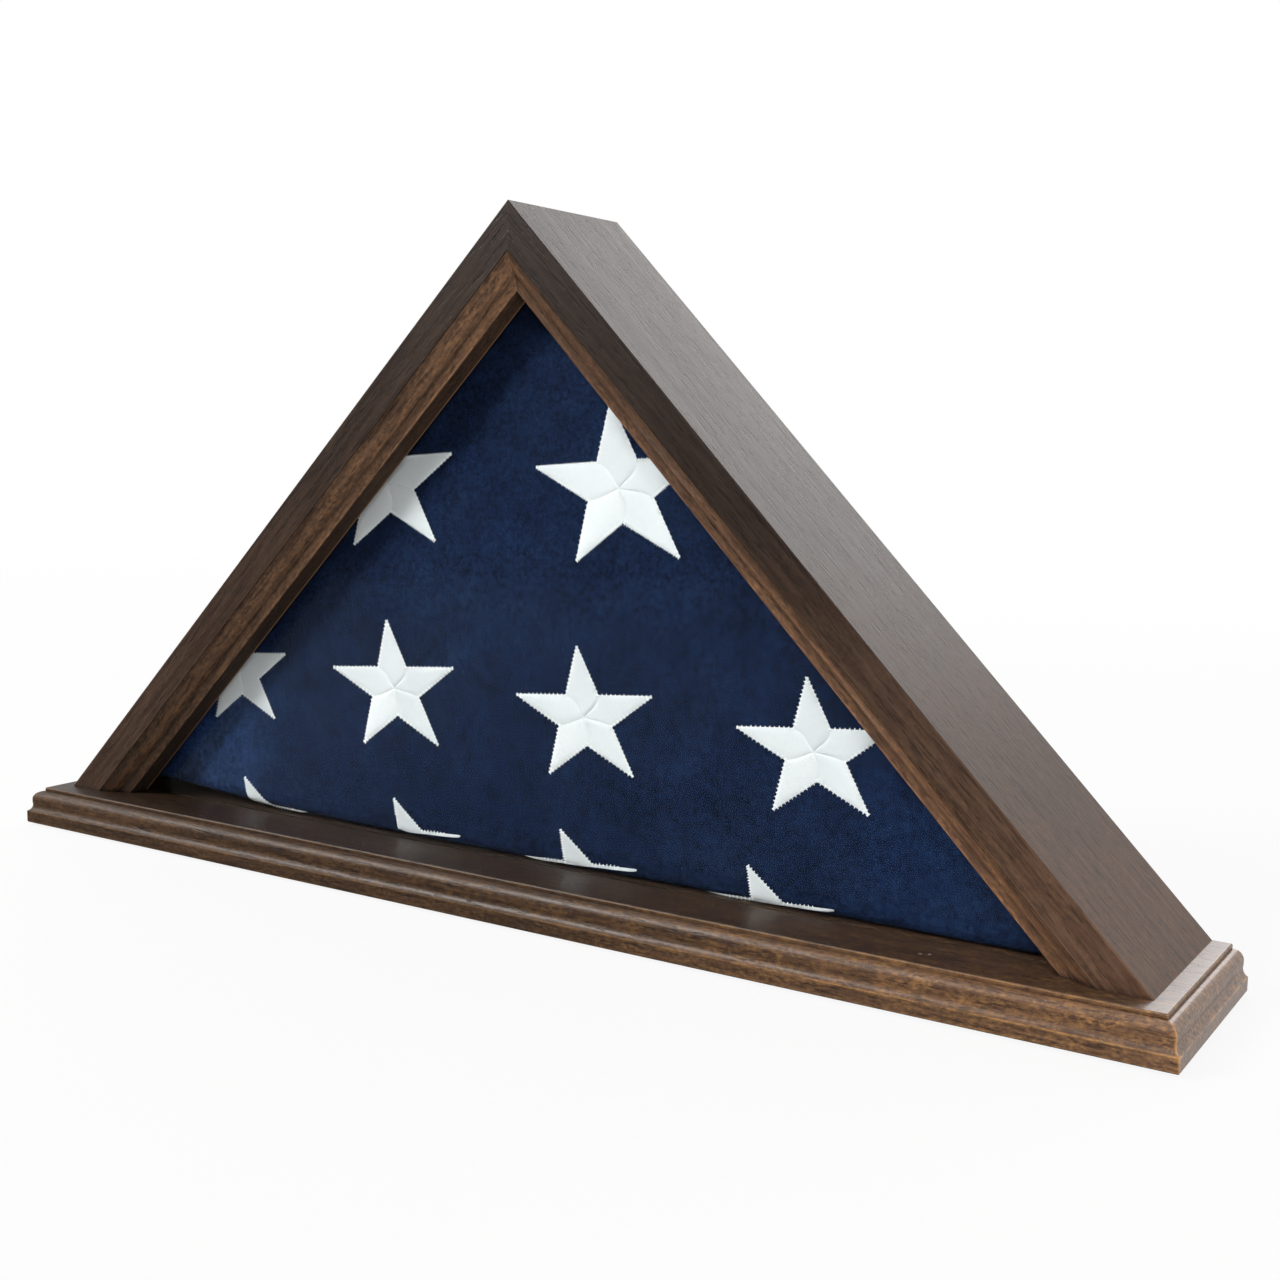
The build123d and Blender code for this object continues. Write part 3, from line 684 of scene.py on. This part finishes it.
reliefSpec = {
    "wave": {"size": 0.085, "seed": 3.17, "swing": 0.9, "share": 0.52},
    "drag": {"size": (0.035, 0.16), "slope": (0.8, 0.6), "seed": 5.0, "swing": 0.8, "share": 0.34},
    "bow": {"centre": (0.105, 0.040), "radius": 0.034, "width": 0.0035, "height": 0.058, "reach": 0.05,
            "share": 0.35},
    "pull": {"foot": (-0.175, 0.03), "lean": 0.35, "width": 0.010, "height": 0.07, "reach": 0.075,
             "share": 0.5},
}
flagLow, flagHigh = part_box("folded_flag")
legSum = flagHigh.z  # |x| + z along the legs
bluntX = flagHigh.x
plyPitch = (flagHigh.y - flagLow.y - 2 * flagSpec["frontRoom"]) / flagSpec["plies"]
shells = (flagSpec["plies"] - flagSpec["stripPlies"]) // 2


def foldedRidge(distance, z, spec):
    return math.exp(-(distance / spec["width"]) ** 2) * max(0.0, 1 - abs(z - spec["height"]) / spec["reach"])


# How far the front ply lies behind its foremost plane, from 0 to about 1
def reliefAt(x, z):
    wave, drag, bow, pull = (reliefSpec[name] for name in ("wave", "drag", "bow", "pull"))
    broad = 0.5 + wave["swing"] * noise.noise(Vector((x / wave["size"], wave["seed"], z / wave["size"])))
    slanting = Vector(((x + drag["slope"][0] * z) / drag["size"][0], drag["seed"],
                       (z - drag["slope"][1] * x) / drag["size"][1]))
    creased = 0.5 + drag["swing"] * noise.noise(slanting)
    ring = math.hypot(x - bow["centre"][0], z - bow["centre"][1]) - bow["radius"]
    away = x - pull["foot"][0] - pull["lean"] * (z - pull["foot"][1])
    rolling = max(0.0, min(1.0, wave["share"] * broad + drag["share"] * creased))
    return rolling + bow["share"] * foldedRidge(ring, z, bow) + pull["share"] * foldedRidge(away, z, pull)


# How far the bottom edge is lifted at a point of a ply
def cornerRise(x, above, inset):
    start, width = flagSpec["cornerSpan"]
    sideways = max(0.0, min(1.0, (-x - start) / width)) ** 2
    upwards = max(0.0, 1 - max(0.0, above) / flagSpec["cornerHeight"])
    return flagSpec["cornerRise"] * sideways * math.exp(-inset / flagSpec["cornerDepth"]) * upwards


# A point of the front cloth, h up from the ground as if the cloth were flat. It turns under at the
# bottom and back round the legs. inset is the ply's distance inside the outermost one.
def clothPoint(x, h, inset=0.0, lift=0.0, back=False):
    radius = max(flagSpec["tightRound"], flagSpec["edgeRound"] - flagSpec["roundLoss"] * inset)
    side = math.copysign(1.0, x)
    bottom = flagLow.z + inset
    rise = 0.0 if back else cornerRise(x, h - bottom, inset)
    h += rise
    bottom += rise
    z, run, tilt = h, 0.0, 0.0
    under = bottom + radius - h
    if under > 0:
        tilt = min(under / radius, math.pi / 2)
        z = bottom + radius - radius * math.sin(tilt)
        run = radius * (1 - math.cos(tilt)) + max(0.0, under - radius * math.pi / 2)
    edge = (legSum - inset * math.sqrt(2) - abs(x) - h) / math.sqrt(2)
    lean = 0.0
    across = abs(x)
    if edge < radius:
        lean = min((radius - edge) / radius, math.pi / 2)
        moved = (radius - radius * math.sin(lean) - edge) / math.sqrt(2)
        across -= moved
        z -= moved
        run += radius * (1 - math.cos(lean)) + max(0.0, radius - edge - radius * math.pi / 2)
    flatShare = math.cos(tilt) * math.cos(lean)
    sunk = flagSpec["relief"] * reliefAt(x, h) * flatShare * math.exp(-inset / flagSpec["reliefDepth"])
    depth = flagSpec["frontRoom"] + inset + run + sunk - lift * flatShare
    across += lift * math.sin(lean) / math.sqrt(2)
    z += lift * math.sin(lean) / math.sqrt(2) - lift * math.sin(tilt)
    y = flagHigh.y - depth if back else flagLow.y + depth
    return Vector((side * across, y, z))


def rowWidth(inset, z):
    limit = bluntX - flagSpec["bluntInset"] * inset
    leg = legSum - inset * math.sqrt(2) - z
    rounding = flagSpec["bluntRound"] * math.exp(-abs(limit - leg) / flagSpec["bluntReach"])
    return max(flagSpec["narrowest"], min(limit, leg) - rounding)


# Heights of a ply's rows, from the bottom edge to the tip
def rowHeights(inset, rows):
    bottom = flagLow.z + inset
    top = legSum - inset * math.sqrt(2) - flagSpec["tipGap"]
    return [bottom + (top - bottom) * (row / rows) ** flagSpec["rowCrowding"] for row in range(rows + 1)]


def plyRows(inset, rows, columns, back):
    made = []
    for z in rowHeights(inset, rows):
        half = rowWidth(inset, z)
        line = []
        for column in range(columns + 1):
            across = 2 * column / columns - 1
            across = math.copysign(abs(across) ** flagSpec["columnCrowding"], across)
            line.append(clothPoint(half * across, z, inset, back=back))
        made.append(line)
    return made


# A line of points moved back through the thickness
def deeper(line, distance):
    return [Vector((place.x, place.y + distance, place.z)) for place in line]


# The edge of a ply along one leg
def plyEdge(inset, rows, side, back):
    return [clothPoint(side * rowWidth(inset, z), z, inset, back=back) for z in rowHeights(inset, rows)]


# Rows of cloth from one line of points to another. late keeps them on the first line's side for longer.
def wrapRows(first, last, bulge, late=False):
    steps = flagSpec["wrapSteps"]
    leave, sharpness = flagSpec["wrapTurn"]
    lines = [first]
    for step in range(1, steps):
        share = step / steps
        move = max(0.0, (share - leave) / (1 - leave)) ** sharpness if late else share
        line = []
        for a, b in zip(first, last):
            place = a.lerp(b, share)
            place.x = a.x + (b.x - a.x) * move
            place.z = a.z + (b.z - a.z) * move
            line.append(place + bulge * math.sin(math.pi * share))
        lines.append(line)
    lines.append(last)
    return lines


def writeUvs(made, name, uvs):
    layer = made.data.uv_layers.new(name=name)
    for loop in made.data.loops:
        layer.data[loop.index].uv = uvs[loop.vertex_index]


def foldFlag():
    points, faces, uvs = [], [], []
    slant = 1 / math.sqrt(2)

    def addRows(lines, flip, shift=0.0):
        start = len(points)
        wide = len(lines[0])
        for line in lines:
            for place in line:
                points.append(place)
                run = place.y * flagSpec["weaveRun"]
                uvs.append(((place.x + place.z) * slant + shift + run, (place.z - place.x) * slant + run))
        for row in range(len(lines) - 1):
            for column in range(wide - 1):
                a = start + row * wide + column
                quad = (a, a + 1, a + 1 + wide, a + wide)
                faces.append(quad[::-1] if flip else quad)

    strip = flagSpec["stripPlies"]
    for shell in range(shells):
        inset = shell * plyPitch
        rows = flagSpec["innerRows" if shell else "fineRows"]
        columns = flagSpec["innerColumns" if shell else "fineColumns"]
        front, back = (plyRows(inset, rows, columns, behind) for behind in (False, True))
        shift = flagSpec["weaveShift"] * shell
        addRows(front, False, shift)
        addRows(back, True, shift)
        addRows(wrapRows(back[0], front[0], Vector((0, 0, 0))), False, shift)
        # round the leg, from this ply at the back to the strip's next turn in front
        side = 1 if (shell // strip) % 2 else -1
        turnInset = min(shell + strip, shells) * plyPitch
        turnEdge = deeper(plyEdge(turnInset, rows, side, False), max(0, shell + strip - shells) * plyPitch)
        bulge = Vector((side, 0, 1)) * slant * flagSpec["wrapBulge"]
        addRows(wrapRows(plyEdge(inset, rows, side, True), turnEdge, bulge, True), side < 0, shift)
    for ply in range(strip):
        lines = plyRows(shells * plyPitch, flagSpec["innerRows"], flagSpec["innerColumns"], False)
        addRows([deeper(line, ply * plyPitch) for line in lines], False)
    made = meshObject("foldedFlag", points, faces, [finishes["flagCloth"]])
    writeUvs(made, "clothUv", uvs)
    work = bmesh.new()
    work.from_mesh(made.data)
    bmesh.ops.remove_doubles(work, verts=work.verts, dist=1e-6)
    work.to_mesh(made.data)
    work.free()
    return made


flag = foldFlag()
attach(flag, "case")
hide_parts("folded_flag")
print("flag folded:", len(flag.data.polygons), "faces")


# Embroidered stars. Each arm is a field of satin stitch that meets its neighbours at a seam.
# u and v are a place on a star, right and up, in shares of its radius.
starSpec = {
    "across": (0.0430, 0.0038),  # from a star's centre to its unit right and up, on the folded cloth
    "up": (-0.0050, 0.0354),
    "notch": 0.385,  # radius of the notches
    "threadRows": 64, "threadColumns": 8,
    "height": 0.00055, "lift": 0.00005,  # of the crown over the cloth, and of the star's edge
    "crownPower": 5, "crownWidth": 0.05, "crownRipple": (0.14, 9),
    "serration": 0.022, "ragged": 0.002,
    "bow": 0.22,  # how far the seams bow to one side
    "paintedArmShade": (0.62, 0.88, 1.0, 0.80, 0.74),  # painted shade: each arm is lighter or darker as light would catch its thread, which runs a different way in each arm
    "armThread": (0.043, 0.3),  # metres of thread pattern across a radius, and its step from arm to arm
    "seed": 21,
    "footLean": -0.0115,  # the bottom row leans as the cloth is drawn round the edge
    "footCut": 0.26,  # and only this much of it and above is on the outer ply
    "footTuck": -0.05,  # left of this x, a bottom star's left arm is under the edge too
}
starPlaces = (  # x, height of the centre, size, and size up the cloth where the fold foreshortens it
    (-0.0945, 0.2057, 1.07), (0.0490, 0.2080, 1.14),
    (-0.2030, 0.0972, 0.88), (-0.0903, 0.0991, 0.99), (0.0304, 0.0974, 0.96), (0.1549, 0.0957, 0.93),
    (-0.1845, 0.0137, 0.83, 0.62), (-0.0755, 0.0185, 0.83, 0.62),
    (0.0325, 0.0180, 0.83, 0.62), (0.1380, 0.0165, 0.83, 0.62),
)


def inBottomRow(place):
    return len(place) == 4


def starPoint(place, u, v, lift):
    across, up = starSpec["across"], starSpec["up"]
    lean = starSpec["footLean"] if inBottomRow(place) else 0.0
    x = place[0] + place[2] * (u * across[0] + v * up[0]) + v * lean
    h = place[1] + place[-1] * (u * across[1] + v * up[1])
    return clothPoint(x, h, 0.0, lift)


# Arms of the bottom row that lie under the folded edge. Arm 0 points up, and the next is to its left.
def tucked(place, arm):
    return inBottomRow(place) and (arm in (2, 3) or arm == 1 and place[0] < starSpec["footTuck"])


def seamBow(u, v):
    radius = math.hypot(u, v)
    share = min(1.0, radius / starSpec["notch"])
    upward = v / radius if radius > 1e-6 else 0.0
    angle = -starSpec["bow"] * upward * math.sin(math.pi * share) * (1 if share < 1 else 0)
    return u * math.cos(angle) - v * math.sin(angle), u * math.sin(angle) + v * math.cos(angle)


# Height of the satin at s along an arm and c across it, as a share of the full height
def satinCrown(s, c, wide):
    ripple, waves = starSpec["crownRipple"]
    rounded = (1 - abs(c) ** starSpec["crownPower"]) * min(1.0, wide / starSpec["crownWidth"])
    return rounded * (1 - ripple + ripple * math.cos(waves * s))


def embroiderStars():
    dice = random.Random(starSpec["seed"])
    points, faces, uvs, shades = [], [], [], []
    rows, columns = starSpec["threadRows"], starSpec["threadColumns"]
    wideCount = columns + 1
    notchAlong = starSpec["notch"] * math.cos(math.pi / 5)
    notchWide = starSpec["notch"] * math.sin(math.pi / 5)
    threadRun, armStep = starSpec["armThread"]
    for place in starPlaces:
        for arm in range(5):
            if tucked(place, arm):
                continue
            axis = math.radians(90 + 72 * arm)
            ahead, aside = Vector((math.cos(axis), math.sin(axis))), Vector((-math.sin(axis), math.cos(axis)))
            start = len(points)
            slip = dice.uniform(0, 1)
            for row in range(rows + 1):
                s = row / rows
                wide = notchWide * (s / notchAlong if s < notchAlong else (1 - s) / (1 - notchAlong))
                step = 0.5 if row % 4 < 2 else -0.5
                ragged = starSpec["serration"] * step + dice.uniform(-starSpec["ragged"], starSpec["ragged"])
                for column in range(wideCount):
                    c = 2 * column / columns - 1
                    reach = wide * c
                    if s > notchAlong and abs(c) == 1 and s < 1:
                        reach += math.copysign(ragged, c)
                    u, v = seamBow(*(ahead * s + aside * reach))
                    if inBottomRow(place):
                        v = max(v, starSpec["footCut"])
                    raised = starSpec["lift"] + starSpec["height"] * satinCrown(s, c, wide)
                    points.append(starPoint(place, u, v, raised))
                    uvs.append((reach * threadRun + armStep * arm + slip, s * threadRun))
                    shades.append(starSpec["paintedArmShade"][arm])
            for row in range(rows):
                for column in range(columns):
                    a = start + row * wideCount + column
                    faces.append((a, a + 1, a + 1 + wideCount, a + wideCount))
    made = meshObject("starSatin", points, faces, [finishes["starThread"]])
    writeUvs(made, "threadUv", uvs)
    made.data.attributes.new("paintedArmShade", "FLOAT", "POINT").data.foreach_set("value", shades)
    return made


# The stitches that bind a star's edge, laid along its outline
stitchSpec = {
    "perSide": 12,  # short straight runs to a side of the outline
    "lift": 0.00012,
    "pitch": 0.0013, "length": 0.0012, "width": 0.00035,
    "lengthVaries": (0.7, 1.2),
    "footRoom": 0.05, "sideCut": -0.1,  # left bare above the cut, and beside a tucked arm
}


# The outline has two points for each run, so that the runs under the folded edge can be left out
def starOutline():
    points, edges = [], []
    perSide = stitchSpec["perSide"]
    corners = []
    for turn in range(10):
        angle = math.radians(90 + 36 * turn)
        radius = 1.0 if turn % 2 == 0 else starSpec["notch"]
        corners.append(Vector((radius * math.cos(angle), radius * math.sin(angle))))
    for place in starPlaces:
        for first, last in zip(corners, corners[1:] + corners[:1]):
            for step in range(perSide):
                ends = [first.lerp(last, (step + end) / perSide) for end in (0, 1)]
                lowest = min(end.y for end in ends)
                if tucked(place, 2) and lowest < starSpec["footCut"] + stitchSpec["footRoom"]:
                    continue
                if tucked(place, 1) and ends[0].x < stitchSpec["sideCut"]:
                    continue
                edges.append((len(points), len(points) + 1))
                points += [starPoint(place, end.x, end.y, stitchSpec["lift"]) for end in ends]
    mesh = bpy.data.meshes.new("starOutline")
    mesh.from_pydata(points, edges, [])
    outline = bpy.data.objects.new("starOutline", mesh)
    bpy.context.scene.collection.objects.link(outline)
    return outline


def edgeStitches():
    outline = starOutline()
    tree, given, out = newGroup(
        "edgeStitching",
        [("Geometry", "NodeSocketGeometry", None), ("Pitch", "NodeSocketFloat", stitchSpec["pitch"]),
         ("Stitch Length", "NodeSocketFloat", stitchSpec["length"]),
         ("Stitch Width", "NodeSocketFloat", stitchSpec["width"]),
         ("Seed", "NodeSocketInt", starSpec["seed"])],
        [("Geometry", "NodeSocketGeometry")], "GeometryNodeTree")
    curve = addNode(tree, "GeometryNodeMeshToCurve", {"Mesh": given.outputs["Geometry"]}).outputs[0]
    spaced = addNode(tree, "GeometryNodeResampleCurve", {"Curve": curve, "Length": given.outputs["Pitch"]},
                     mode="LENGTH")
    tangent = tree.nodes.new("GeometryNodeInputTangent").outputs[0]
    turned = addNode(tree, "FunctionNodeAlignRotationToVector", {"Vector": tangent}, axis="Y").outputs[0]
    facing = addNode(tree, "FunctionNodeAlignRotationToVector", {"Rotation": turned, "Vector": (0, -1, 0)},
                     axis="Z", pivot_axis="Y").outputs[0]
    wobble = addNode(tree, "FunctionNodeRandomValue", {"Seed": given.outputs["Seed"]}, data_type="FLOAT")
    wobble.inputs[2].default_value, wobble.inputs[3].default_value = stitchSpec["lengthVaries"]
    length = times(tree, given.outputs["Stitch Length"], wobble.outputs[1])
    width = given.outputs["Stitch Width"]
    size = addNode(tree, "ShaderNodeCombineXYZ", {0: length, 1: width, 2: width}).outputs[0]
    stitch = addNode(tree, "GeometryNodeMeshIcoSphere", {"Radius": 1.0, "Subdivisions": 1}).outputs[0]
    laid = addNode(tree, "GeometryNodeInstanceOnPoints", {
        "Points": spaced.outputs[0], "Instance": stitch, "Rotation": facing, "Scale": size}).outputs[0]
    finishInstances(tree, laid, "edgeThread", out)
    return plainFromNodes(outline, tree, {"Seed": starSpec["seed"]}, "starEdgeStitches")


# Ends a Geometry Nodes tree: real geometry, shaded smooth, with its material
def finishInstances(tree, laid, finish, out, offset=None):
    shape = addNode(tree, "GeometryNodeRealizeInstances", {0: laid}).outputs[0]
    if offset:
        shape = addNode(tree, "GeometryNodeSetPosition", {"Geometry": shape, "Offset": offset}).outputs[0]
    soft = addNode(tree, "GeometryNodeSetShadeSmooth", {0: shape}).outputs[0]
    dressed = addNode(tree, "GeometryNodeSetMaterial", {"Geometry": soft, "Material": finishes[finish]})
    tree.links.new(dressed.outputs[0], out.inputs[0])


# Runs a Geometry Nodes tree on a seed object and leaves a plain mesh of that name
def plainFromNodes(seed, tree, values, name):
    modifier = seed.modifiers.new(tree.name, "NODES")
    modifier.node_group = tree
    for item in tree.interface.items_tree:
        if item.item_type == "SOCKET" and item.in_out == "INPUT" and item.name in values:
            modifier[item.identifier] = values[item.name]
    bpy.context.view_layer.update()
    mesh = bpy.data.meshes.new_from_object(seed.evaluated_get(bpy.context.evaluated_depsgraph_get()))
    mesh.name = name
    bpy.data.objects.remove(seed)
    made = bpy.data.objects.new(name, mesh)
    bpy.context.scene.collection.objects.link(made)
    return made


stars = embroiderStars()
stitches = edgeStitches()
for piece in (stars, stitches):
    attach(piece, "case")
print("stars embroidered:", len(stars.data.polygons), "faces,", len(stitches.data.polygons), "in stitches")


# Felt pads: pressed discs with a matted, slightly bulging rim
padSpec = {
    "rimSegments": 56, "sideSegments": 6, "rings": 7,
    "bulge": 0.0004, "bulgeGain": 1.6, "bulgeHeight": 0.55,  # of the thickness, either way from the middle
    "mattedScale": 700.0, "mattedDetail": 3.0, "seed": 3,
}


def feltPads():
    names = ("front_left_pad", "front_right_pad", "back_left_pad", "back_right_pad")
    centres, low, high = [], *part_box(names[0])
    radius, thick = (high.x - low.x) / 2 - padSpec["bulge"], high.z - low.z
    for name in names:
        near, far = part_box(name)
        centres.append(((near.x + far.x) / 2, (near.y + far.y) / 2, (near.z + far.z) / 2))
    mesh = bpy.data.meshes.new("padPlaces")
    mesh.from_pydata(centres, [], [])
    places = bpy.data.objects.new("padPlaces", mesh)
    bpy.context.scene.collection.objects.link(places)

    tree, given, out = newGroup(
        "pressedFelt",
        [("Geometry", "NodeSocketGeometry", None)]
        + [(name, "NodeSocketFloat", None) for name in ("Radius", "Thickness", "Bulge", "Seed")],
        [("Geometry", "NodeSocketGeometry")], "GeometryNodeTree")
    thickness = given.outputs["Thickness"]
    disc = addNode(tree, "GeometryNodeMeshCylinder", {
        "Vertices": padSpec["rimSegments"], "Side Segments": padSpec["sideSegments"],
        "Fill Segments": padSpec["rings"], "Radius": given.outputs["Radius"], "Depth": thickness}).outputs[0]
    laid = addNode(tree, "GeometryNodeInstanceOnPoints", {
        "Points": given.outputs["Geometry"], "Instance": disc}).outputs[0]
    place = tree.nodes.new("GeometryNodeInputPosition").outputs[0]
    normal = tree.nodes.new("GeometryNodeInputNormal").outputs[0]
    level = addNode(tree, "ShaderNodeVectorMath", {0: normal, 1: (1, 1, 0)}, operation="MULTIPLY").outputs[0]
    matted = addNode(tree, "ShaderNodeTexNoise", {
        "Vector": place, "Scale": padSpec["mattedScale"], "Detail": padSpec["mattedDetail"],
        "W": given.outputs["Seed"]}, noise_dimensions="4D").outputs[0]
    middle = minus(tree, axesOf(tree, place)[2], times(tree, thickness, 0.5))
    away = maths(tree, "DIVIDE", middle, times(tree, thickness, padSpec["bulgeHeight"]))
    crown = minus(tree, 1.0, maths(tree, "ABSOLUTE", away), True)
    amount = times(tree, times(tree, matted, crown), given.outputs["Bulge"])
    finishInstances(tree, laid, "padFelt", out, scaled(tree, level, amount))
    values = {"Radius": radius, "Thickness": thick, "Bulge": padSpec["bulgeGain"] * padSpec["bulge"],
              "Seed": float(padSpec["seed"])}
    made = plainFromNodes(places, tree, values, "feltPads")
    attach(made, "case")
    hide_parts(*names)
    return made


pads = feltPads()
print("felt pads pressed:", len(pads.data.polygons), "faces")


# Pale floor that melts into the surroundings
def buildFloor():
    count, radius = studio["floorSides"], studio["floorRadius"]
    angles = [2 * math.pi * side / count for side in range(count)]
    ring = [(radius * math.cos(angle), radius * math.sin(angle), 0) for angle in angles]
    material, tree, surface = newMaterial("studioFloor")
    here = objectPlace(tree)
    floorColour = studio["floorColour"]
    cloudy = ramp(tree, noiseOn(tree, here, *studio["floorMottle"]), *studio["mottleRange"])
    shaded = [studio["mottleShade"] * channel for channel in floorColour]
    connect(tree, surface, {"Base Color": blendColour(tree, cloudy, floorColour, shaded)},
            {"Roughness": 0.9, "Specular IOR Level": 0.1})
    bright = addNode(tree, "ShaderNodeEmission", {"Strength": studio["backdrop"]}).outputs[0]
    cameraRay = tree.nodes.new("ShaderNodeLightPath").outputs["Is Camera Ray"]
    seen = times(tree, cameraRay, studio["floorGlow"])
    lit = addNode(tree, "ShaderNodeMixShader", {0: seen, 1: surface.outputs[0], 2: bright}).outputs[0]
    away = addNode(tree, "ShaderNodeVectorMath", {0: here}, operation="LENGTH").outputs["Value"]
    fade = ramp(tree, away, *studio["floorFade"], easing="SMOOTHSTEP")
    clear = tree.nodes.new("ShaderNodeBsdfTransparent").outputs[0]
    showShader(tree, addNode(tree, "ShaderNodeMixShader", {0: fade, 1: lit, 2: clear}).outputs[0])
    floor = meshObject("studioFloor", ring, [tuple(range(count))], [material], smooth=False)
    floor.visible_glossy = False


def buildSurroundings():
    world = bpy.data.worlds.new("studioWorld")
    world.use_nodes = True
    tree = world.node_tree
    tree.nodes.clear()
    cameraRay = tree.nodes.new("ShaderNodeLightPath").outputs["Is Camera Ray"]
    sight = addNode(tree, "ShaderNodeTexCoord").outputs["Generated"]
    facing = addNode(tree, "ShaderNodeVectorMath", {0: sight, 1: studio["ambientFrom"]},
                     operation="DOT_PRODUCT").outputs["Value"]
    around = ramp(tree, facing, *studio["ambientRange"], *studio["ambient"])
    strength = maths(tree, "MAXIMUM", around, times(tree, cameraRay, studio["backdrop"]))
    sky = addNode(tree, "ShaderNodeBackground", {"Color": (1.0, 1.0, 1.0, 1), "Strength": strength})
    output = tree.nodes.new("ShaderNodeOutputWorld")
    tree.links.new(sky.outputs[0], output.inputs[0])
    bpy.context.scene.world = world
    bpy.context.scene.view_settings.view_transform = "Standard"


buildFloor()
buildSurroundings()
for lampName, lampSpec in lampSet.items():
    placeLamp(lampName, lampSpec, studio["aim"])
placeCamera(cameraSet)
print("studio ready")
